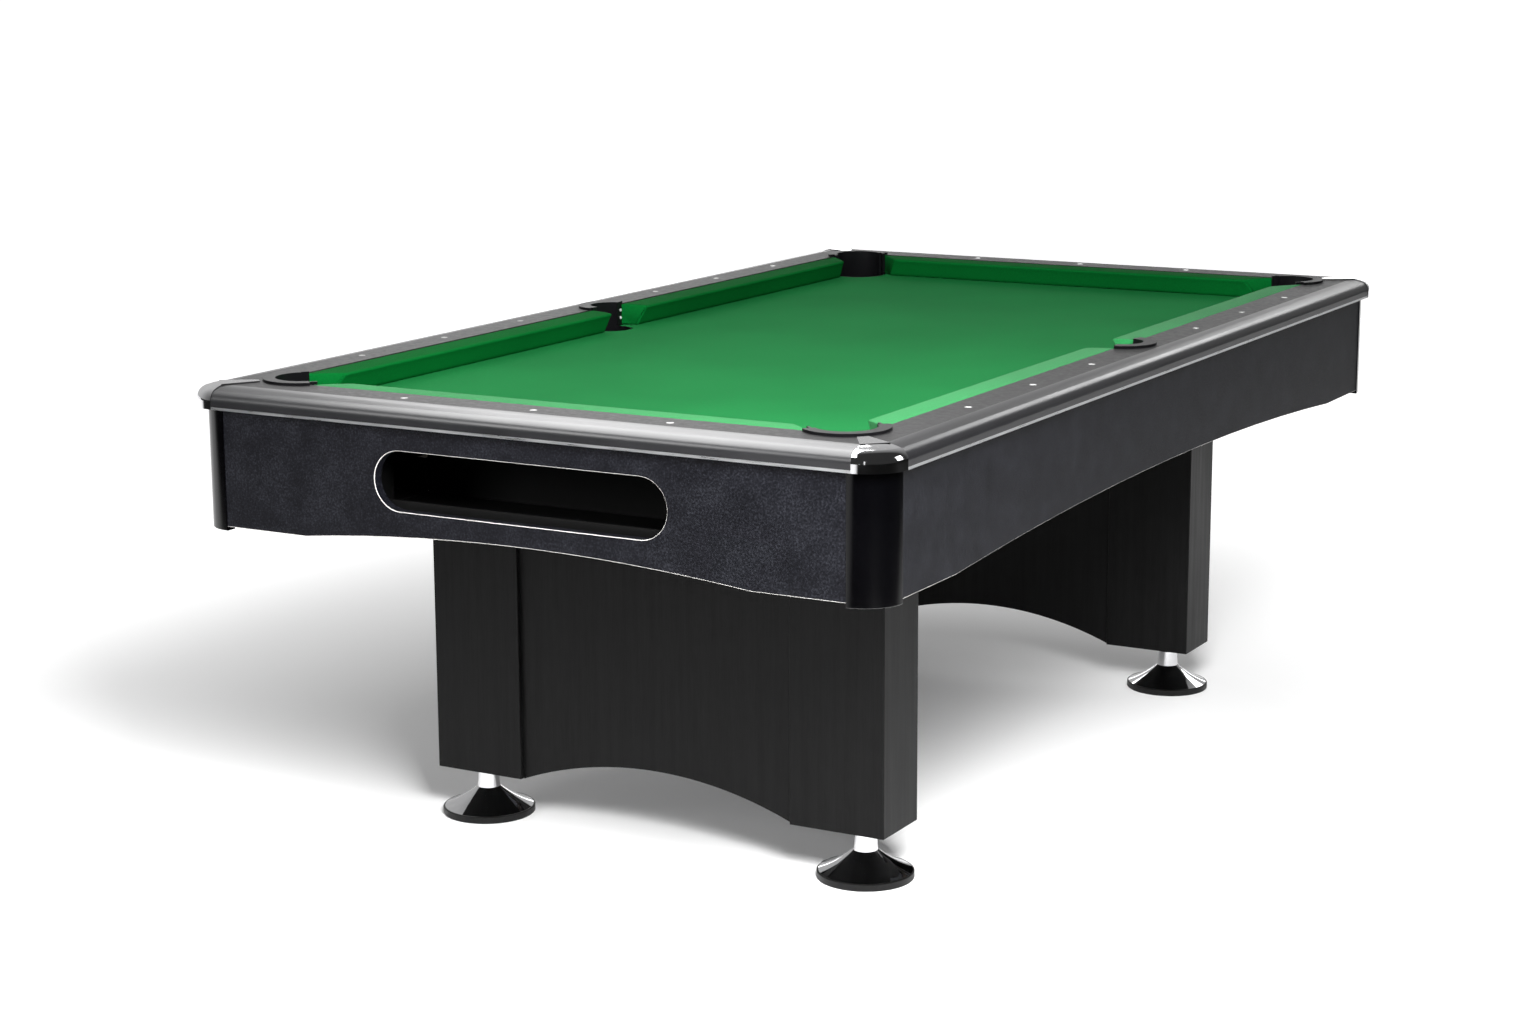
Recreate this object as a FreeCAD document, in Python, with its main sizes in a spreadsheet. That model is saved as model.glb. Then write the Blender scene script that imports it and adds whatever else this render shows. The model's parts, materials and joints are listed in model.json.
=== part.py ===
import FreeCAD, Part
import math
import os
import re
import Sketcher
from FreeCAD import Placement, Rotation, Vector

# Seven-foot pool table with a ball return. +X is across the table, +Y is along it, and +Z is up.
# The origin is on the floor at the table's centre. The end with the ball slot faces -Y.
# Every length is in millimetres.

DIMENSIONS = {
    # playing surface, measured between the cushion noses
    "play_width": 990.0,
    "play_length": 1980.0,
    "rail_top": 818.0,
    "slate_top": 775.0,
    "slate_thick": 25.0,
    "slate_half_width": 604.0,
    "slate_half_length": 1100.0,
    "slate_joint": 366.0,
    "cloth_thick": 1.2,
    # rails and cushions
    "cushion_width": 55.0,
    "cushion_clear": 0.6,
    "cushion_undercut": 19.0,
    "nose_height": 812.5,
    "nose_top": 816.3,
    "nose_round": 2.0,
    "rail_core_width": 62.0,
    "bullnose_width": 39.0,
    "bullnose_drop": 32.0,
    "bullnose_crown_width": 27.0,
    "bullnose_crown_drop": 5.0,
    "bullnose_turn_drop": 22.5,
    "sight_offset": 91.0,
    "sight_spacing": 247.5,
    "sight_radius": 6.0,
    "sight_depth": 2.0,
    "rail_bolt_offset": 72.0,
    "rail_bolt_radius": 4.0,
    "rail_bolt_hole": 5.5,
    "rail_bolt_top": 800.0,
    "rail_bolt_head": 8.0,
    "rail_bolt_head_high": 5.2,
    "rail_washer_radius": 10.0,
    "rail_washer_thick": 2.0,
    # trim strip under the bullnose
    "strip_thick": 4.5,
    "strip_inset": 1.0,
    # pockets
    "corner_pocket_shift": 13.0,
    "corner_pocket_inside": 48.5,
    "corner_pocket_wall": 58.0,
    "corner_pocket_flange": 69.0,
    "corner_cushion_cut": 83.0,
    "side_pocket_shift": 45.0,
    "side_pocket_inside": 38.5,
    "side_pocket_wall": 42.0,
    "side_pocket_flange": 62.0,
    "side_nose_cut": 65.0,
    "side_back_cut": 53.0,
    "jaw_plate_thick": 3.5,
    "pocket_clear": 1.5,
    "flange_thick": 4.5,
    "pocket_bottom": 726.0,
    "pocket_screw_radius": 3.0,
    "pocket_screw_head": 1.5,
    "pocket_screw_low": 16.0,
    "pocket_screw_high": 31.0,
    "pocket_ear_length": 14.0,
    "pocket_ear_thick": 4.5,
    "jaw_plate_clear": 0.5,
    # apron boards and corner posts
    "apron_half_width": 636.7,
    "apron_half_length": 1133.5,
    "apron_thick": 18.0,
    "apron_bottom": 585.0,
    "end_arch_half": 414.0,
    "end_arch_rise": 24.0,
    "side_arch_half": 884.0,
    "side_arch_rise": 31.0,
    "board_edge": 1.2,
    "slot_half_width": 272.0,
    "slot_low": 644.0,
    "slot_high": 742.0,
    "post_corner": 60.4,
    "post_proud": 1.6,
    "post_thick": 20.0,
    "post_drop": 7.0,
    "post_edge": 1.5,
    # chrome corner caps
    "cap_radius": 61.0,
    "cap_proud": 1.2,
    "cap_thick": 1.4,
    "cap_bottom": 781.8,
    "tongue_inner": 29.0,
    "tongue_half_width": 5.6,
    "tongue_outer": 33.0,
    "tongue_thick": 2.2,
    # timber under the slate
    "beam_layer": 728.0,
    "cross_beam_width": 89.0,
    "cross_beam_half_length": 574.0,
    "end_cross_beam": 893.0,
    "long_beam_inner": 385.0,
    "long_beam_width": 38.0,
    "long_beam_half_length": 940.0,
    "perimeter_inner_x": 583.0,
    "perimeter_inner_y": 1073.0,
    "perimeter_low": 680.0,
    "perimeter_half_length": 1066.0,
    "perimeter_half_width": 570.0,
    "front_block_inner": 305.0,
    "front_block_outer": 440.0,
    # ball return
    "tray_half_width": 290.0,
    "tray_floor": 636.0,
    "tray_back": 952.0,
    "tray_thick": 9.0,
    "tray_lip_top": 658.0,
    "tray_lip_thick": 6.0,
    "tray_gate_top": 704.0,
    "gutter_thick": 6.0,
    "gutter_inner": 466.0,
    "gutter_outer": 570.0,
    "gutter_wall": 40.0,
    "side_gutter_rear": 1052.0,
    "side_gutter_front": 949.0,
    "side_gutter_high": 666.0,
    "side_gutter_fall": 18.0,
    "front_gutter_front": 1052.0,
    "front_gutter_rear": 950.0,
    "front_gutter_low": 639.0,
    "front_gutter_fall": 4.0,
    "front_gutter_back_wall": 56.0,
    "gutter_clear": 0.5,
    # pedestals
    "leg_outer_x": 443.4,
    "leg_width": 175.6,
    "leg_outer_y": 746.0,
    "leg_depth": 124.8,
    "leg_bottom": 90.3,
    "leg_wall": 16.0,
    "leg_edge": 2.0,
    "leg_base_thick": 20.0,
    "pedestal_top": 623.0,
    "pedestal_top_thick": 18.0,
    "panel_recess": 10.0,
    "panel_thick": 16.0,
    "panel_arch_rise": 52.0,
    "panel_bottom": 89.0,
    "soffit_thick": 6.0,
    # levelling feet
    "foot_x": 379.0,
    "foot_y": 685.0,
    "foot_radius": 82.0,
    "foot_pad_height": 9.0,
    "foot_pad_groove": 3.0,
    "foot_rim_height": 13.0,
    "foot_cone_radius": 21.0,
    "foot_cone_height": 48.0,
    "foot_cone_curve": 210.0,
    "foot_collar_radius": 18.5,
    "foot_collar_height": 78.5,
    "foot_collar_edge": 1.5,
    "stud_radius": 8.0,
    "stud_clear": 0.06,
    "stud_low": 44.0,
    "stud_high": 176.0,
    "stud_leg_hole": 9.5,
    "nut_plate_half": 40.0,
    "nut_plate_thick": 5.0,
    "nut_boss_radius": 14.0,
    "nut_boss_height": 16.0,
}

# Formulas that several pieces share
NOSE_X = "(play_width / 2)"
NOSE_Y = "(play_length / 2)"
BACK_X = f"({NOSE_X} + cushion_width)"
BACK_Y = f"({NOSE_Y} + cushion_width)"
CORE_X = f"({BACK_X} + rail_core_width)"
CORE_Y = f"({BACK_Y} + rail_core_width)"
RAIL_X = f"({CORE_X} + bullnose_width)"
RAIL_Y = f"({CORE_Y} + bullnose_width)"
CAP_X = f"({RAIL_X} - cap_radius)"
CAP_Y = f"({RAIL_Y} - cap_radius)"
CORE_ROUND = "(cap_radius - bullnose_width)"
CORNER_X = f"({NOSE_X} + corner_pocket_shift)"
CORNER_Y = f"({NOSE_Y} + corner_pocket_shift)"
SIDE_X = f"({NOSE_X} + side_pocket_shift)"
BULLNOSE_LOW = "(rail_top - bullnose_drop)"
# The bullnose leaves the rail level along a wide crown, then turns down in a tighter arc
CROWN_RADIUS = "((bullnose_crown_width ^ 2 + bullnose_crown_drop ^ 2) / (2 * bullnose_crown_drop))"
TURN_WIDTH = "(bullnose_width - bullnose_crown_width)"
TURN_HEIGHT = "(bullnose_turn_drop - bullnose_crown_drop)"
TURN_RADIUS = f"(({TURN_WIDTH} ^ 2 + {TURN_HEIGHT} ^ 2) / (2 * {TURN_WIDTH}))"
APRON_TOP = f"({BULLNOSE_LOW} - strip_thick)"
POST_X = "(apron_half_width - post_corner)"
POST_Y = "(apron_half_length - post_corner)"
LEG_X = "(leg_outer_x - leg_width / 2)"
LEG_Y = "(leg_outer_y - leg_depth / 2)"
LEG_INNER_X = "(leg_outer_x - leg_width)"
LEG_TOP = "(pedestal_top - pedestal_top_thick)"
SLATE_LOW = "(slate_top - slate_thick)"

CORNERS = [("front_left", -1, -1), ("front_right", 1, -1), ("rear_left", -1, 1), ("rear_right", 1, 1)]
SIDES = [("left", -1), ("right", 1)]
# Rail bolts, in sight spacings from the middle of their rail
SIDE_BOLTS = (-3.2, -2.0, -0.8, 0.8, 2.0, 3.2)
END_BOLTS = (-1.4, 0.0, 1.4)
UP = Vector(0, 0, 1)
WORD = re.compile(r"[a-z][a-z_]*")

doc = FreeCAD.newDocument("pool_table")
sheet = doc.addObject("Spreadsheet::Sheet", "dims")
sub_parts = []


def fill_sheet():
    for row, (name, value) in enumerate(DIMENSIONS.items(), start=1):
        sheet.set(f"A{row}", name)
        sheet.set(f"B{row}", str(value))
        sheet.setAlias(f"B{row}", name)
    doc.recompute()


def formula(text):
    """The expression that reads each dimension named in the text from the sheet."""
    return WORD.sub(lambda m: f"dims.{m[0]}" if m[0] in DIMENSIONS else m[0], str(text))


def value(text):
    return float(sheet.evalExpression(formula(text)))


def bind(thing, **sizes):
    for name, text in sizes.items():
        thing.setExpression(name, formula(text))


def place(thing, x=0, y=0, z=0, turn=0.0, axis=UP):
    """Puts an object at formulas x, y and z, turned about an axis by degrees."""
    thing.Placement = Placement(Vector(), Rotation(axis, turn))
    for name, text in (("x", x), ("y", y), ("z", z)):
        thing.setExpression(f"Placement.Base.{name}", formula(text))
    return thing


def keep(thing, label):
    """Marks an object as a sub-part of the table, to be written as a file of its own."""
    thing.Label = label
    sub_parts.append(thing)
    return thing


def new_body(name):
    return doc.addObject("PartDesign::Body", f"{name}_body")


def new_sketch(body, name, role):
    sketch = body.newObject("Sketcher::SketchObject", name)
    plane = next(item for item in body.Origin.OriginFeatures if item.Role == role)
    sketch.AttachmentSupport = [(plane, "")]
    sketch.MapMode = "FlatFace"
    return sketch


def constrain(sketch, kind, *where, text):
    number = sketch.addConstraint(Sketcher.Constraint(kind, *where, value(text)))
    sketch.setExpression(f"Constraints[{number}]", formula(text))


def arc_between(start, end, radius):
    """The short arc from start to end: anticlockwise for a positive radius, clockwise for a negative one."""
    along = end - start
    left = Vector(-along.y, along.x, 0).normalize()
    rise = math.sqrt(max(radius * radius - along.Length * along.Length / 4, 0.0))
    centre = (start + end) / 2 + left * math.copysign(rise, radius)
    first, last = (start, end) if radius > 0 else (end, start)
    angles = [math.atan2(point.y - centre.y, point.x - centre.x) for point in (first, last)]
    return Part.ArcOfCircle(Part.Circle(centre, UP, abs(radius)), *angles)


def draw_loop(sketch, corners, arcs=None):
    """Draws a closed outline from pairs of formulas. arcs gives the signed radius of each curved edge."""
    arcs = arcs or {}
    points = [Vector(value(x), value(y), 0) for x, y in corners]
    first = sketch.GeometryCount
    count = len(points)
    ends = []
    for number, start in enumerate(points):
        end = points[(number + 1) % count]
        if number in arcs:
            radius = value(arcs[number])
            sketch.addGeometry(arc_between(start, end, radius))
            ends.append((1, 2) if radius > 0 else (2, 1))
        else:
            sketch.addGeometry(Part.LineSegment(start, end))
            ends.append((1, 2))
    for number in range(count):
        after = (number + 1) % count
        sketch.addConstraint(
            Sketcher.Constraint("Coincident", first + number, ends[number][1], first + after, ends[after][0])
        )
    for number, (x, y) in enumerate(corners):
        constrain(sketch, "DistanceX", -1, 1, first + number, ends[number][0], text=x)
        constrain(sketch, "DistanceY", -1, 1, first + number, ends[number][0], text=y)
    for number, radius in arcs.items():
        constrain(sketch, "Radius", first + number, text=f"abs({radius})")


def rectangle(low_x, low_y, high_x, high_y):
    return [(low_x, low_y), (high_x, low_y), (high_x, high_y), (low_x, high_y)]


def draw_circle(sketch, x, y, radius):
    number = sketch.addGeometry(Part.Circle(Vector(value(x), value(y), 0), UP, value(radius)))
    constrain(sketch, "DistanceX", -1, 1, number, 3, text=x)
    constrain(sketch, "DistanceY", -1, 1, number, 3, text=y)
    constrain(sketch, "Radius", number, text=radius)


def pad(body, sketch, length, reverse=False):
    feature = body.newObject("PartDesign::Pad", f"{sketch.Name}_pad")
    feature.Profile = sketch
    feature.Reversed = reverse
    bind(feature, Length=length)
    doc.recompute()
    return feature


def pocket(body, sketch, length=None, reverse=False):
    """Cuts a sketch through the body and stops if nothing was removed."""
    before = body.Shape.Volume
    feature = body.newObject("PartDesign::Pocket", f"{sketch.Name}_cut")
    feature.Profile = sketch
    feature.Reversed = reverse
    if length is None:
        feature.Type = "ThroughAll"
    else:
        bind(feature, Length=length)
    doc.recompute()
    if body.Shape.Volume >= before - 1e-3:
        raise ValueError(f"{sketch.Name} cut nothing")
    return feature


def spin(body, sketch, degrees):
    """Revolves a sketch about the body's own Z axis."""
    feature = body.newObject("PartDesign::Revolution", f"{sketch.Name}_spin")
    feature.Profile = sketch
    feature.ReferenceAxis = (sketch, ["V_Axis"])
    feature.Angle = degrees
    doc.recompute()
    return feature


def round_edges(body, radius, wanted):
    """Fillets the edges of the body's tip that pass the test."""
    tip = body.Tip
    names = [f"Edge{n}" for n, edge in enumerate(tip.Shape.Edges, start=1) if wanted(edge)]
    feature = body.newObject("PartDesign::Fillet", f"{body.Name}_round")
    feature.Base = (tip, names)
    bind(feature, Radius=radius)
    doc.recompute()
    return feature


def is_upright(edge):
    low, high = (vertex.Point for vertex in (edge.Vertexes[0], edge.Vertexes[-1]))
    return (high - low).Length > 1e-6 and abs((high - low).normalize().z) > 0.999


def box(name, x, y, z, length, width, height):
    """A box from its lowest corner."""
    thing = doc.addObject("Part::Box", name)
    bind(thing, Length=length, Width=width, Height=height)
    return place(thing, x, y, z)


def rod(name, x, y, z, radius, height, axis=UP, turn=0.0):
    thing = doc.addObject("Part::Cylinder", name)
    bind(thing, Radius=radius, Height=height)
    return place(thing, x, y, z, turn, axis)


def joined(name, things):
    thing = doc.addObject("Part::MultiFuse", name)
    thing.Shapes = things
    return thing


def cut(name, base, tool):
    thing = doc.addObject("Part::Cut", name)
    thing.Base = base
    thing.Tool = tool
    return thing


def group(label, things):
    """One node that holds several separate solids."""
    thing = doc.addObject("Part::Compound", f"{label}_group")
    thing.Links = things
    return keep(thing, label)


def mirrored(name, source, normal):
    thing = doc.addObject("Part::Mirroring", name)
    thing.Source = source
    thing.Normal = normal
    return thing


def corner_turn(x_side, y_side):
    """How far a piece drawn for the rear right corner turns to fit another corner."""
    return {(1, 1): 0.0, (-1, 1): 90.0, (-1, -1): 180.0, (1, -1): 270.0}[(x_side, y_side)]


def arch_radius(half, rise):
    return f"(({half}) * ({half}) + ({rise}) * ({rise})) / (2 * ({rise}))"


# ---------------------------------------------------------------- pedestals


def make_leg(label, x_side, y_side):
    """A hollow box leg with a thick base, open at the top where the pedestal top closes it."""
    body = new_body(label)
    outline = new_sketch(body, f"{label}_outline", "XY_Plane")
    half_x, half_y = "leg_width / 2", "leg_depth / 2"
    draw_loop(outline, rectangle(f"-{half_x}", f"-{half_y}", half_x, half_y))
    pad(body, outline, f"{LEG_TOP} - leg_bottom")
    round_edges(body, "leg_edge", is_upright)
    hollow = new_sketch(body, f"{label}_hollow", "XY_Plane")
    bind(hollow, **{"AttachmentOffset.Base.z": "leg_base_thick"})
    half_x, half_y = f"({half_x} - leg_wall)", f"({half_y} - leg_wall)"
    draw_loop(hollow, rectangle(f"-{half_x}", f"-{half_y}", half_x, half_y))
    pocket(body, hollow, reverse=True)
    hole = new_sketch(body, f"{label}_hole", "XY_Plane")
    draw_circle(hole, f"{x_side} * (foot_x - {LEG_X})", f"{y_side} * (foot_y - {LEG_Y})", "stud_leg_hole")
    pocket(body, hole, reverse=True)
    place(body, f"{x_side} * {LEG_X}", f"{y_side} * {LEG_Y}", "leg_bottom")
    keep(body, label)


def make_arched_panel(name, y_low):
    """A panel between two legs, with its lower edge cut as a shallow arch."""
    body = new_body(name)
    outline = new_sketch(body, f"{name}_outline", "XZ_Plane")
    draw_loop(
        outline,
        [
            (f"-{LEG_INNER_X}", "panel_bottom"),
            (LEG_INNER_X, "panel_bottom"),
            (LEG_INNER_X, LEG_TOP),
            (f"-{LEG_INNER_X}", LEG_TOP),
        ],
        {0: "-" + arch_radius(LEG_INNER_X, "panel_arch_rise")},
    )
    pad(body, outline, "panel_thick", reverse=True)
    return place(body, y=y_low)


def make_soffit(name, y_low):
    """The bent board that lines the underside of the arch between the two panels."""
    body = new_body(name)
    outline = new_sketch(body, f"{name}_outline", "XZ_Plane")
    radius = arch_radius(LEG_INNER_X, "panel_arch_rise")
    draw_loop(
        outline,
        [
            (f"-{LEG_INNER_X}", "panel_bottom"),
            (LEG_INNER_X, "panel_bottom"),
            (LEG_INNER_X, "panel_bottom + soffit_thick"),
            (f"-{LEG_INNER_X}", "panel_bottom + soffit_thick"),
        ],
        {0: f"-{radius}", 2: radius},
    )
    pad(body, outline, "leg_depth - 2 * panel_recess - 2 * panel_thick", reverse=True)
    return place(body, y=y_low)


def make_pedestals():
    for name, x_side, y_side in CORNERS:
        make_leg(f"leg_{name}", x_side, y_side)
    outer = "(leg_outer_y - panel_recess)"
    inner = "(leg_outer_y - leg_depth + panel_recess)"
    soffits = []
    tops = []
    for end, y_side in (("front", -1), ("rear", 1)):
        low_outer = f"{outer} - panel_thick" if y_side > 0 else f"-{outer}"
        low_inner = inner if y_side > 0 else f"-{inner} - panel_thick"
        low_soffit = f"{inner} + panel_thick" if y_side > 0 else f"-{outer} + panel_thick"
        panels = [
            make_arched_panel(f"{end}_outer_panel", low_outer),
            make_arched_panel(f"{end}_inner_panel", low_inner),
        ]
        group(f"pedestal_panels_{end}", panels)
        soffits.append(make_soffit(f"{end}_soffit", low_soffit))
        low_y = "leg_outer_y - leg_depth" if y_side > 0 else "-leg_outer_y"
        tops.append(
            box(
                f"{end}_top", "-leg_outer_x", low_y, LEG_TOP,
                "2 * leg_outer_x", "leg_depth", "pedestal_top_thick",
            )
        )
    group("pedestal_soffits", soffits)
    group("pedestal_tops", tops)


# ---------------------------------------------------------------- levelling feet


def make_foot_base(label, x, y):
    """A dished chrome disc that rises to a tapered collar, bored for the stud."""
    body = new_body(label)
    outline = new_sketch(body, f"{label}_outline", "XZ_Plane")
    bore = "(stud_radius + stud_clear)"
    draw_loop(
        outline,
        [
            ("0", "foot_pad_height"),
            ("foot_radius - foot_pad_groove", "foot_pad_height"),
            ("foot_radius - foot_pad_groove", "foot_rim_height"),
            ("foot_cone_radius", "foot_cone_height"),
            ("foot_collar_radius", "foot_collar_height - foot_collar_edge"),
            ("foot_collar_radius - foot_collar_edge", "foot_collar_height"),
            (bore, "foot_collar_height"),
            (bore, "stud_low - stud_clear"),
            ("0", "stud_low - stud_clear"),
        ],
        {2: "-foot_cone_curve"},
    )
    spin(body, outline, 360.0)
    keep(place(body, x, y), label)


def make_foot_pad(label, x, y):
    """The rubber ring that wraps the disc's rim and stands on the floor."""
    body = new_body(label)
    outline = new_sketch(body, f"{label}_outline", "XZ_Plane")
    rim = "(foot_radius - foot_pad_groove)"
    draw_loop(
        outline,
        [
            ("0", "0"),
            ("foot_radius - foot_pad_groove / 2", "0"),
            ("foot_radius", "foot_pad_groove / 2"),
            ("foot_radius", "foot_rim_height - foot_pad_groove / 2"),
            (f"{rim} + foot_pad_groove / 2", "foot_rim_height"),
            (rim, "foot_rim_height"),
            (rim, "foot_pad_height"),
            ("0", "foot_pad_height"),
        ],
    )
    spin(body, outline, 360.0)
    keep(place(body, x, y), label)


def make_nut_plate(name, x, y):
    """A steel plate with a threaded boss, screwed to the base inside a leg."""
    plate_low = "leg_bottom + leg_base_thick"
    half = "nut_plate_half"
    plate = box(
        f"{name}_plate", f"{x} - {half}", f"{y} - {half}", plate_low,
        f"2 * {half}", f"2 * {half}", "nut_plate_thick",
    )
    boss = rod(f"{name}_boss", x, y, plate_low, "nut_boss_radius", "nut_plate_thick + nut_boss_height")
    bore = rod(
        f"{name}_bore", x, y, "leg_bottom", "stud_radius + stud_clear",
        "leg_base_thick + nut_plate_thick + 2 * nut_boss_height",
    )
    return cut(name, joined(f"{name}_solid", [plate, boss]), bore)


def make_feet():
    plates = []
    for name, x_side, y_side in CORNERS:
        x = f"{x_side} * foot_x"
        y = f"{y_side} * foot_y"
        make_foot_base(f"foot_base_{name}", x, y)
        make_foot_pad(f"foot_pad_{name}", x, y)
        stud = rod(f"{name}_stud", x, y, "stud_low", "stud_radius", "stud_high - stud_low")
        keep(stud, f"foot_stud_{name}")
        plates.append(make_nut_plate(f"{name}_nut_plate", x, y))
    group("foot_nut_plates", plates)


# ---------------------------------------------------------------- timber under the slate


def make_beams():
    long_beams = []
    for name, x_side in SIDES:
        low_x = "long_beam_inner" if x_side > 0 else "-long_beam_inner - long_beam_width"
        long_beams.append(
            box(
                f"{name}_long_beam", low_x, "-long_beam_half_length", "pedestal_top",
                "long_beam_width", "2 * long_beam_half_length", "beam_layer - pedestal_top",
            )
        )
    group("long_beams", long_beams)
    stations = ["end_cross_beam", LEG_Y, "slate_joint"]
    centres = [f"-({text})" for text in stations] + [f"({text})" for text in reversed(stations)]
    cross_beams = [
        box(
            f"cross_beam_{number}", "-cross_beam_half_length", f"{centre} - cross_beam_width / 2",
            "beam_layer", "2 * cross_beam_half_length", "cross_beam_width", f"{SLATE_LOW} - beam_layer",
        )
        for number, centre in enumerate(centres, start=1)
    ]
    group("cross_beams", cross_beams)


def make_perimeter_frame():
    """Battens behind the apron boards, which carry the slate's edge and the boards' screws."""
    wall_x = "(apron_half_width - apron_thick)"
    wall_y = "(apron_half_length - apron_thick)"
    height = f"{SLATE_LOW} - perimeter_low"
    battens = []
    for name, x_side in SIDES:
        low_x = "perimeter_inner_x" if x_side > 0 else f"-{wall_x}"
        battens.append(
            box(
                f"{name}_batten", low_x, "-perimeter_half_length", "perimeter_low",
                f"{wall_x} - perimeter_inner_x", "2 * perimeter_half_length", height,
            )
        )
        low_x = "front_block_inner" if x_side > 0 else "-front_block_outer"
        battens.append(
            box(
                f"{name}_front_batten", low_x, f"-{wall_y}", "perimeter_low",
                "front_block_outer - front_block_inner", f"{wall_y} - perimeter_inner_y", height,
            )
        )
    battens.append(
        box(
            "rear_batten", "-perimeter_half_width", "perimeter_inner_y", "perimeter_low",
            "2 * perimeter_half_width", f"{wall_y} - perimeter_inner_y", height,
        )
    )
    group("perimeter_frame", battens)


# ---------------------------------------------------------------- ball return


def make_tray():
    """A tray behind the slot, open to the slot and, through a gate in each end, to the front gutters."""
    front = "(apron_half_length - apron_thick)"
    outer = "(tray_half_width + tray_thick)"
    height = f"{SLATE_LOW} - tray_floor"
    floor = box(
        "tray_floor_board", f"-{outer}", f"-{front}", "tray_floor - tray_thick",
        f"2 * {outer}", f"{front} - tray_back + tray_thick", "tray_thick",
    )
    back = box(
        "tray_back_board", f"-{outer}", "-tray_back", "tray_floor",
        f"2 * {outer}", "tray_thick", height,
    )
    ends = [
        box(
            f"tray_{name}_end", "tray_half_width" if side > 0 else f"-{outer}", f"-{front}", "tray_floor",
            "tray_thick", f"{front} - front_gutter_front - gutter_thick", height,
        )
        for name, side in SIDES
    ]
    gates = [
        box(
            f"tray_{name}_gate_board", "tray_half_width" if side > 0 else f"-{outer}",
            "-front_gutter_front - gutter_thick", "tray_gate_top",
            "tray_thick", "front_gutter_front + gutter_thick - tray_back + tray_thick",
            f"{SLATE_LOW} - tray_gate_top",
        )
        for name, side in SIDES
    ]
    lip = box(
        "tray_lip", f"-{outer}", f"-{front}", "tray_floor",
        f"2 * {outer}", "tray_lip_thick", "tray_lip_top - tray_floor",
    )
    keep(joined("tray_boards", [floor, back, lip, *ends, *gates]), "ball_tray")


def make_side_gutter(name, side):
    """A sloping channel under the pockets of one side, closed at its rear end."""
    run = "(side_gutter_rear + side_gutter_front)"
    body = new_body(name)
    section = new_sketch(body, f"{name}_section", "XZ_Plane")
    low = "-gutter_thick"
    left = f"{side} * gutter_inner"
    right = f"{side} * gutter_outer"
    left_out = f"{side} * (gutter_inner - gutter_thick)"
    right_out = f"{side} * (gutter_outer + gutter_thick)"
    draw_loop(
        section,
        [
            (left_out, low), (right_out, low), (right_out, "gutter_wall"), (right, "gutter_wall"),
            (right, "0"), (left, "0"), (left, "gutter_wall"), (left_out, "gutter_wall"),
        ],
    )
    pad(body, section, run, reverse=True)
    stop = new_sketch(body, f"{name}_stop", "XZ_Plane")
    bind(stop, **{"AttachmentOffset.Base.z": f"-{run}"})
    draw_loop(
        stop, [(left_out, low), (right_out, low), (right_out, "gutter_wall"), (left_out, "gutter_wall")]
    )
    pad(body, stop, "gutter_thick", reverse=True)
    slope = math.degrees(math.atan(value(f"side_gutter_fall / {run}")))
    low_end = "side_gutter_high - side_gutter_fall"
    return place(body, y="-side_gutter_front", z=low_end, turn=slope, axis=Vector(1, 0, 0))


def make_front_gutter(name, side):
    """A sloping channel that takes the balls from a side gutter and its corner pocket to the tray."""
    start = "(tray_half_width + tray_thick + gutter_clear)"
    run = f"(gutter_outer + gutter_thick - {start})"
    front = "(front_gutter_front + gutter_thick)"
    depth = f"{front} - front_gutter_rear"
    rear = "-front_gutter_rear - gutter_thick"
    wall = "gutter_wall - gutter_thick"

    def plank(part, low_x, high_x, low_y, length_y, low_z, height):
        low = low_x if side > 0 else f"-({high_x})"
        return box(f"{name}_{part}", low, low_y, low_z, f"{high_x} - {low_x}", length_y, height)

    short_wall = f"(gutter_inner - gutter_thick - {start})"
    planks = [
        plank("floor", "0", run, f"-{front}", depth, "-gutter_thick", "gutter_thick"),
        plank("front_wall", "0", run, f"-{front}", "gutter_thick", "0", wall),
        plank("rear_wall", "2 * gutter_clear", short_wall, rear, "gutter_thick",
              "0", "front_gutter_back_wall"),
        plank("end_wall", f"({run} - gutter_thick)", run, f"-{front}", depth, "0", wall),
    ]
    slope = math.degrees(math.atan(value(f"front_gutter_fall / {run}")))
    channel = joined(name, planks)
    place(channel, x=f"{side} * {start}", z="front_gutter_low", turn=-side * slope, axis=Vector(0, 1, 0))
    return channel


def make_ball_return():
    make_tray()
    group("side_gutters", [make_side_gutter(f"{name}_side_gutter", side) for name, side in SIDES])
    group("front_gutters", [make_front_gutter(f"{name}_front_gutter", side) for name, side in SIDES])


# ---------------------------------------------------------------- apron boards and corner posts


def apron_outline(half, arch_half, arch_rise):
    """Corners and arc of a board whose lower edge is a shallow arch between two flats."""
    corners = [
        (f"-{half}", "apron_bottom"),
        (f"-{arch_half}", "apron_bottom"),
        (arch_half, "apron_bottom"),
        (half, "apron_bottom"),
        (half, APRON_TOP),
        (f"-{half}", APRON_TOP),
    ]
    return corners, {1: "-" + arch_radius(arch_half, arch_rise)}


def make_end_apron(label, y_side):
    body = new_body(label)
    outline = new_sketch(body, f"{label}_outline", "XZ_Plane")
    draw_loop(outline, *apron_outline(POST_X, "end_arch_half", "end_arch_rise"))
    pad(body, outline, "apron_thick", reverse=True)
    if y_side < 0:
        cut_slot(body, label)
    outer_y = 0.0 if y_side < 0 else value("apron_thick")
    round_edges(body, "board_edge", lambda edge: on_board_rim(edge, "y", outer_y))
    place(body, y="-apron_half_length" if y_side < 0 else "apron_half_length - apron_thick")
    keep(body, label)


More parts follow.
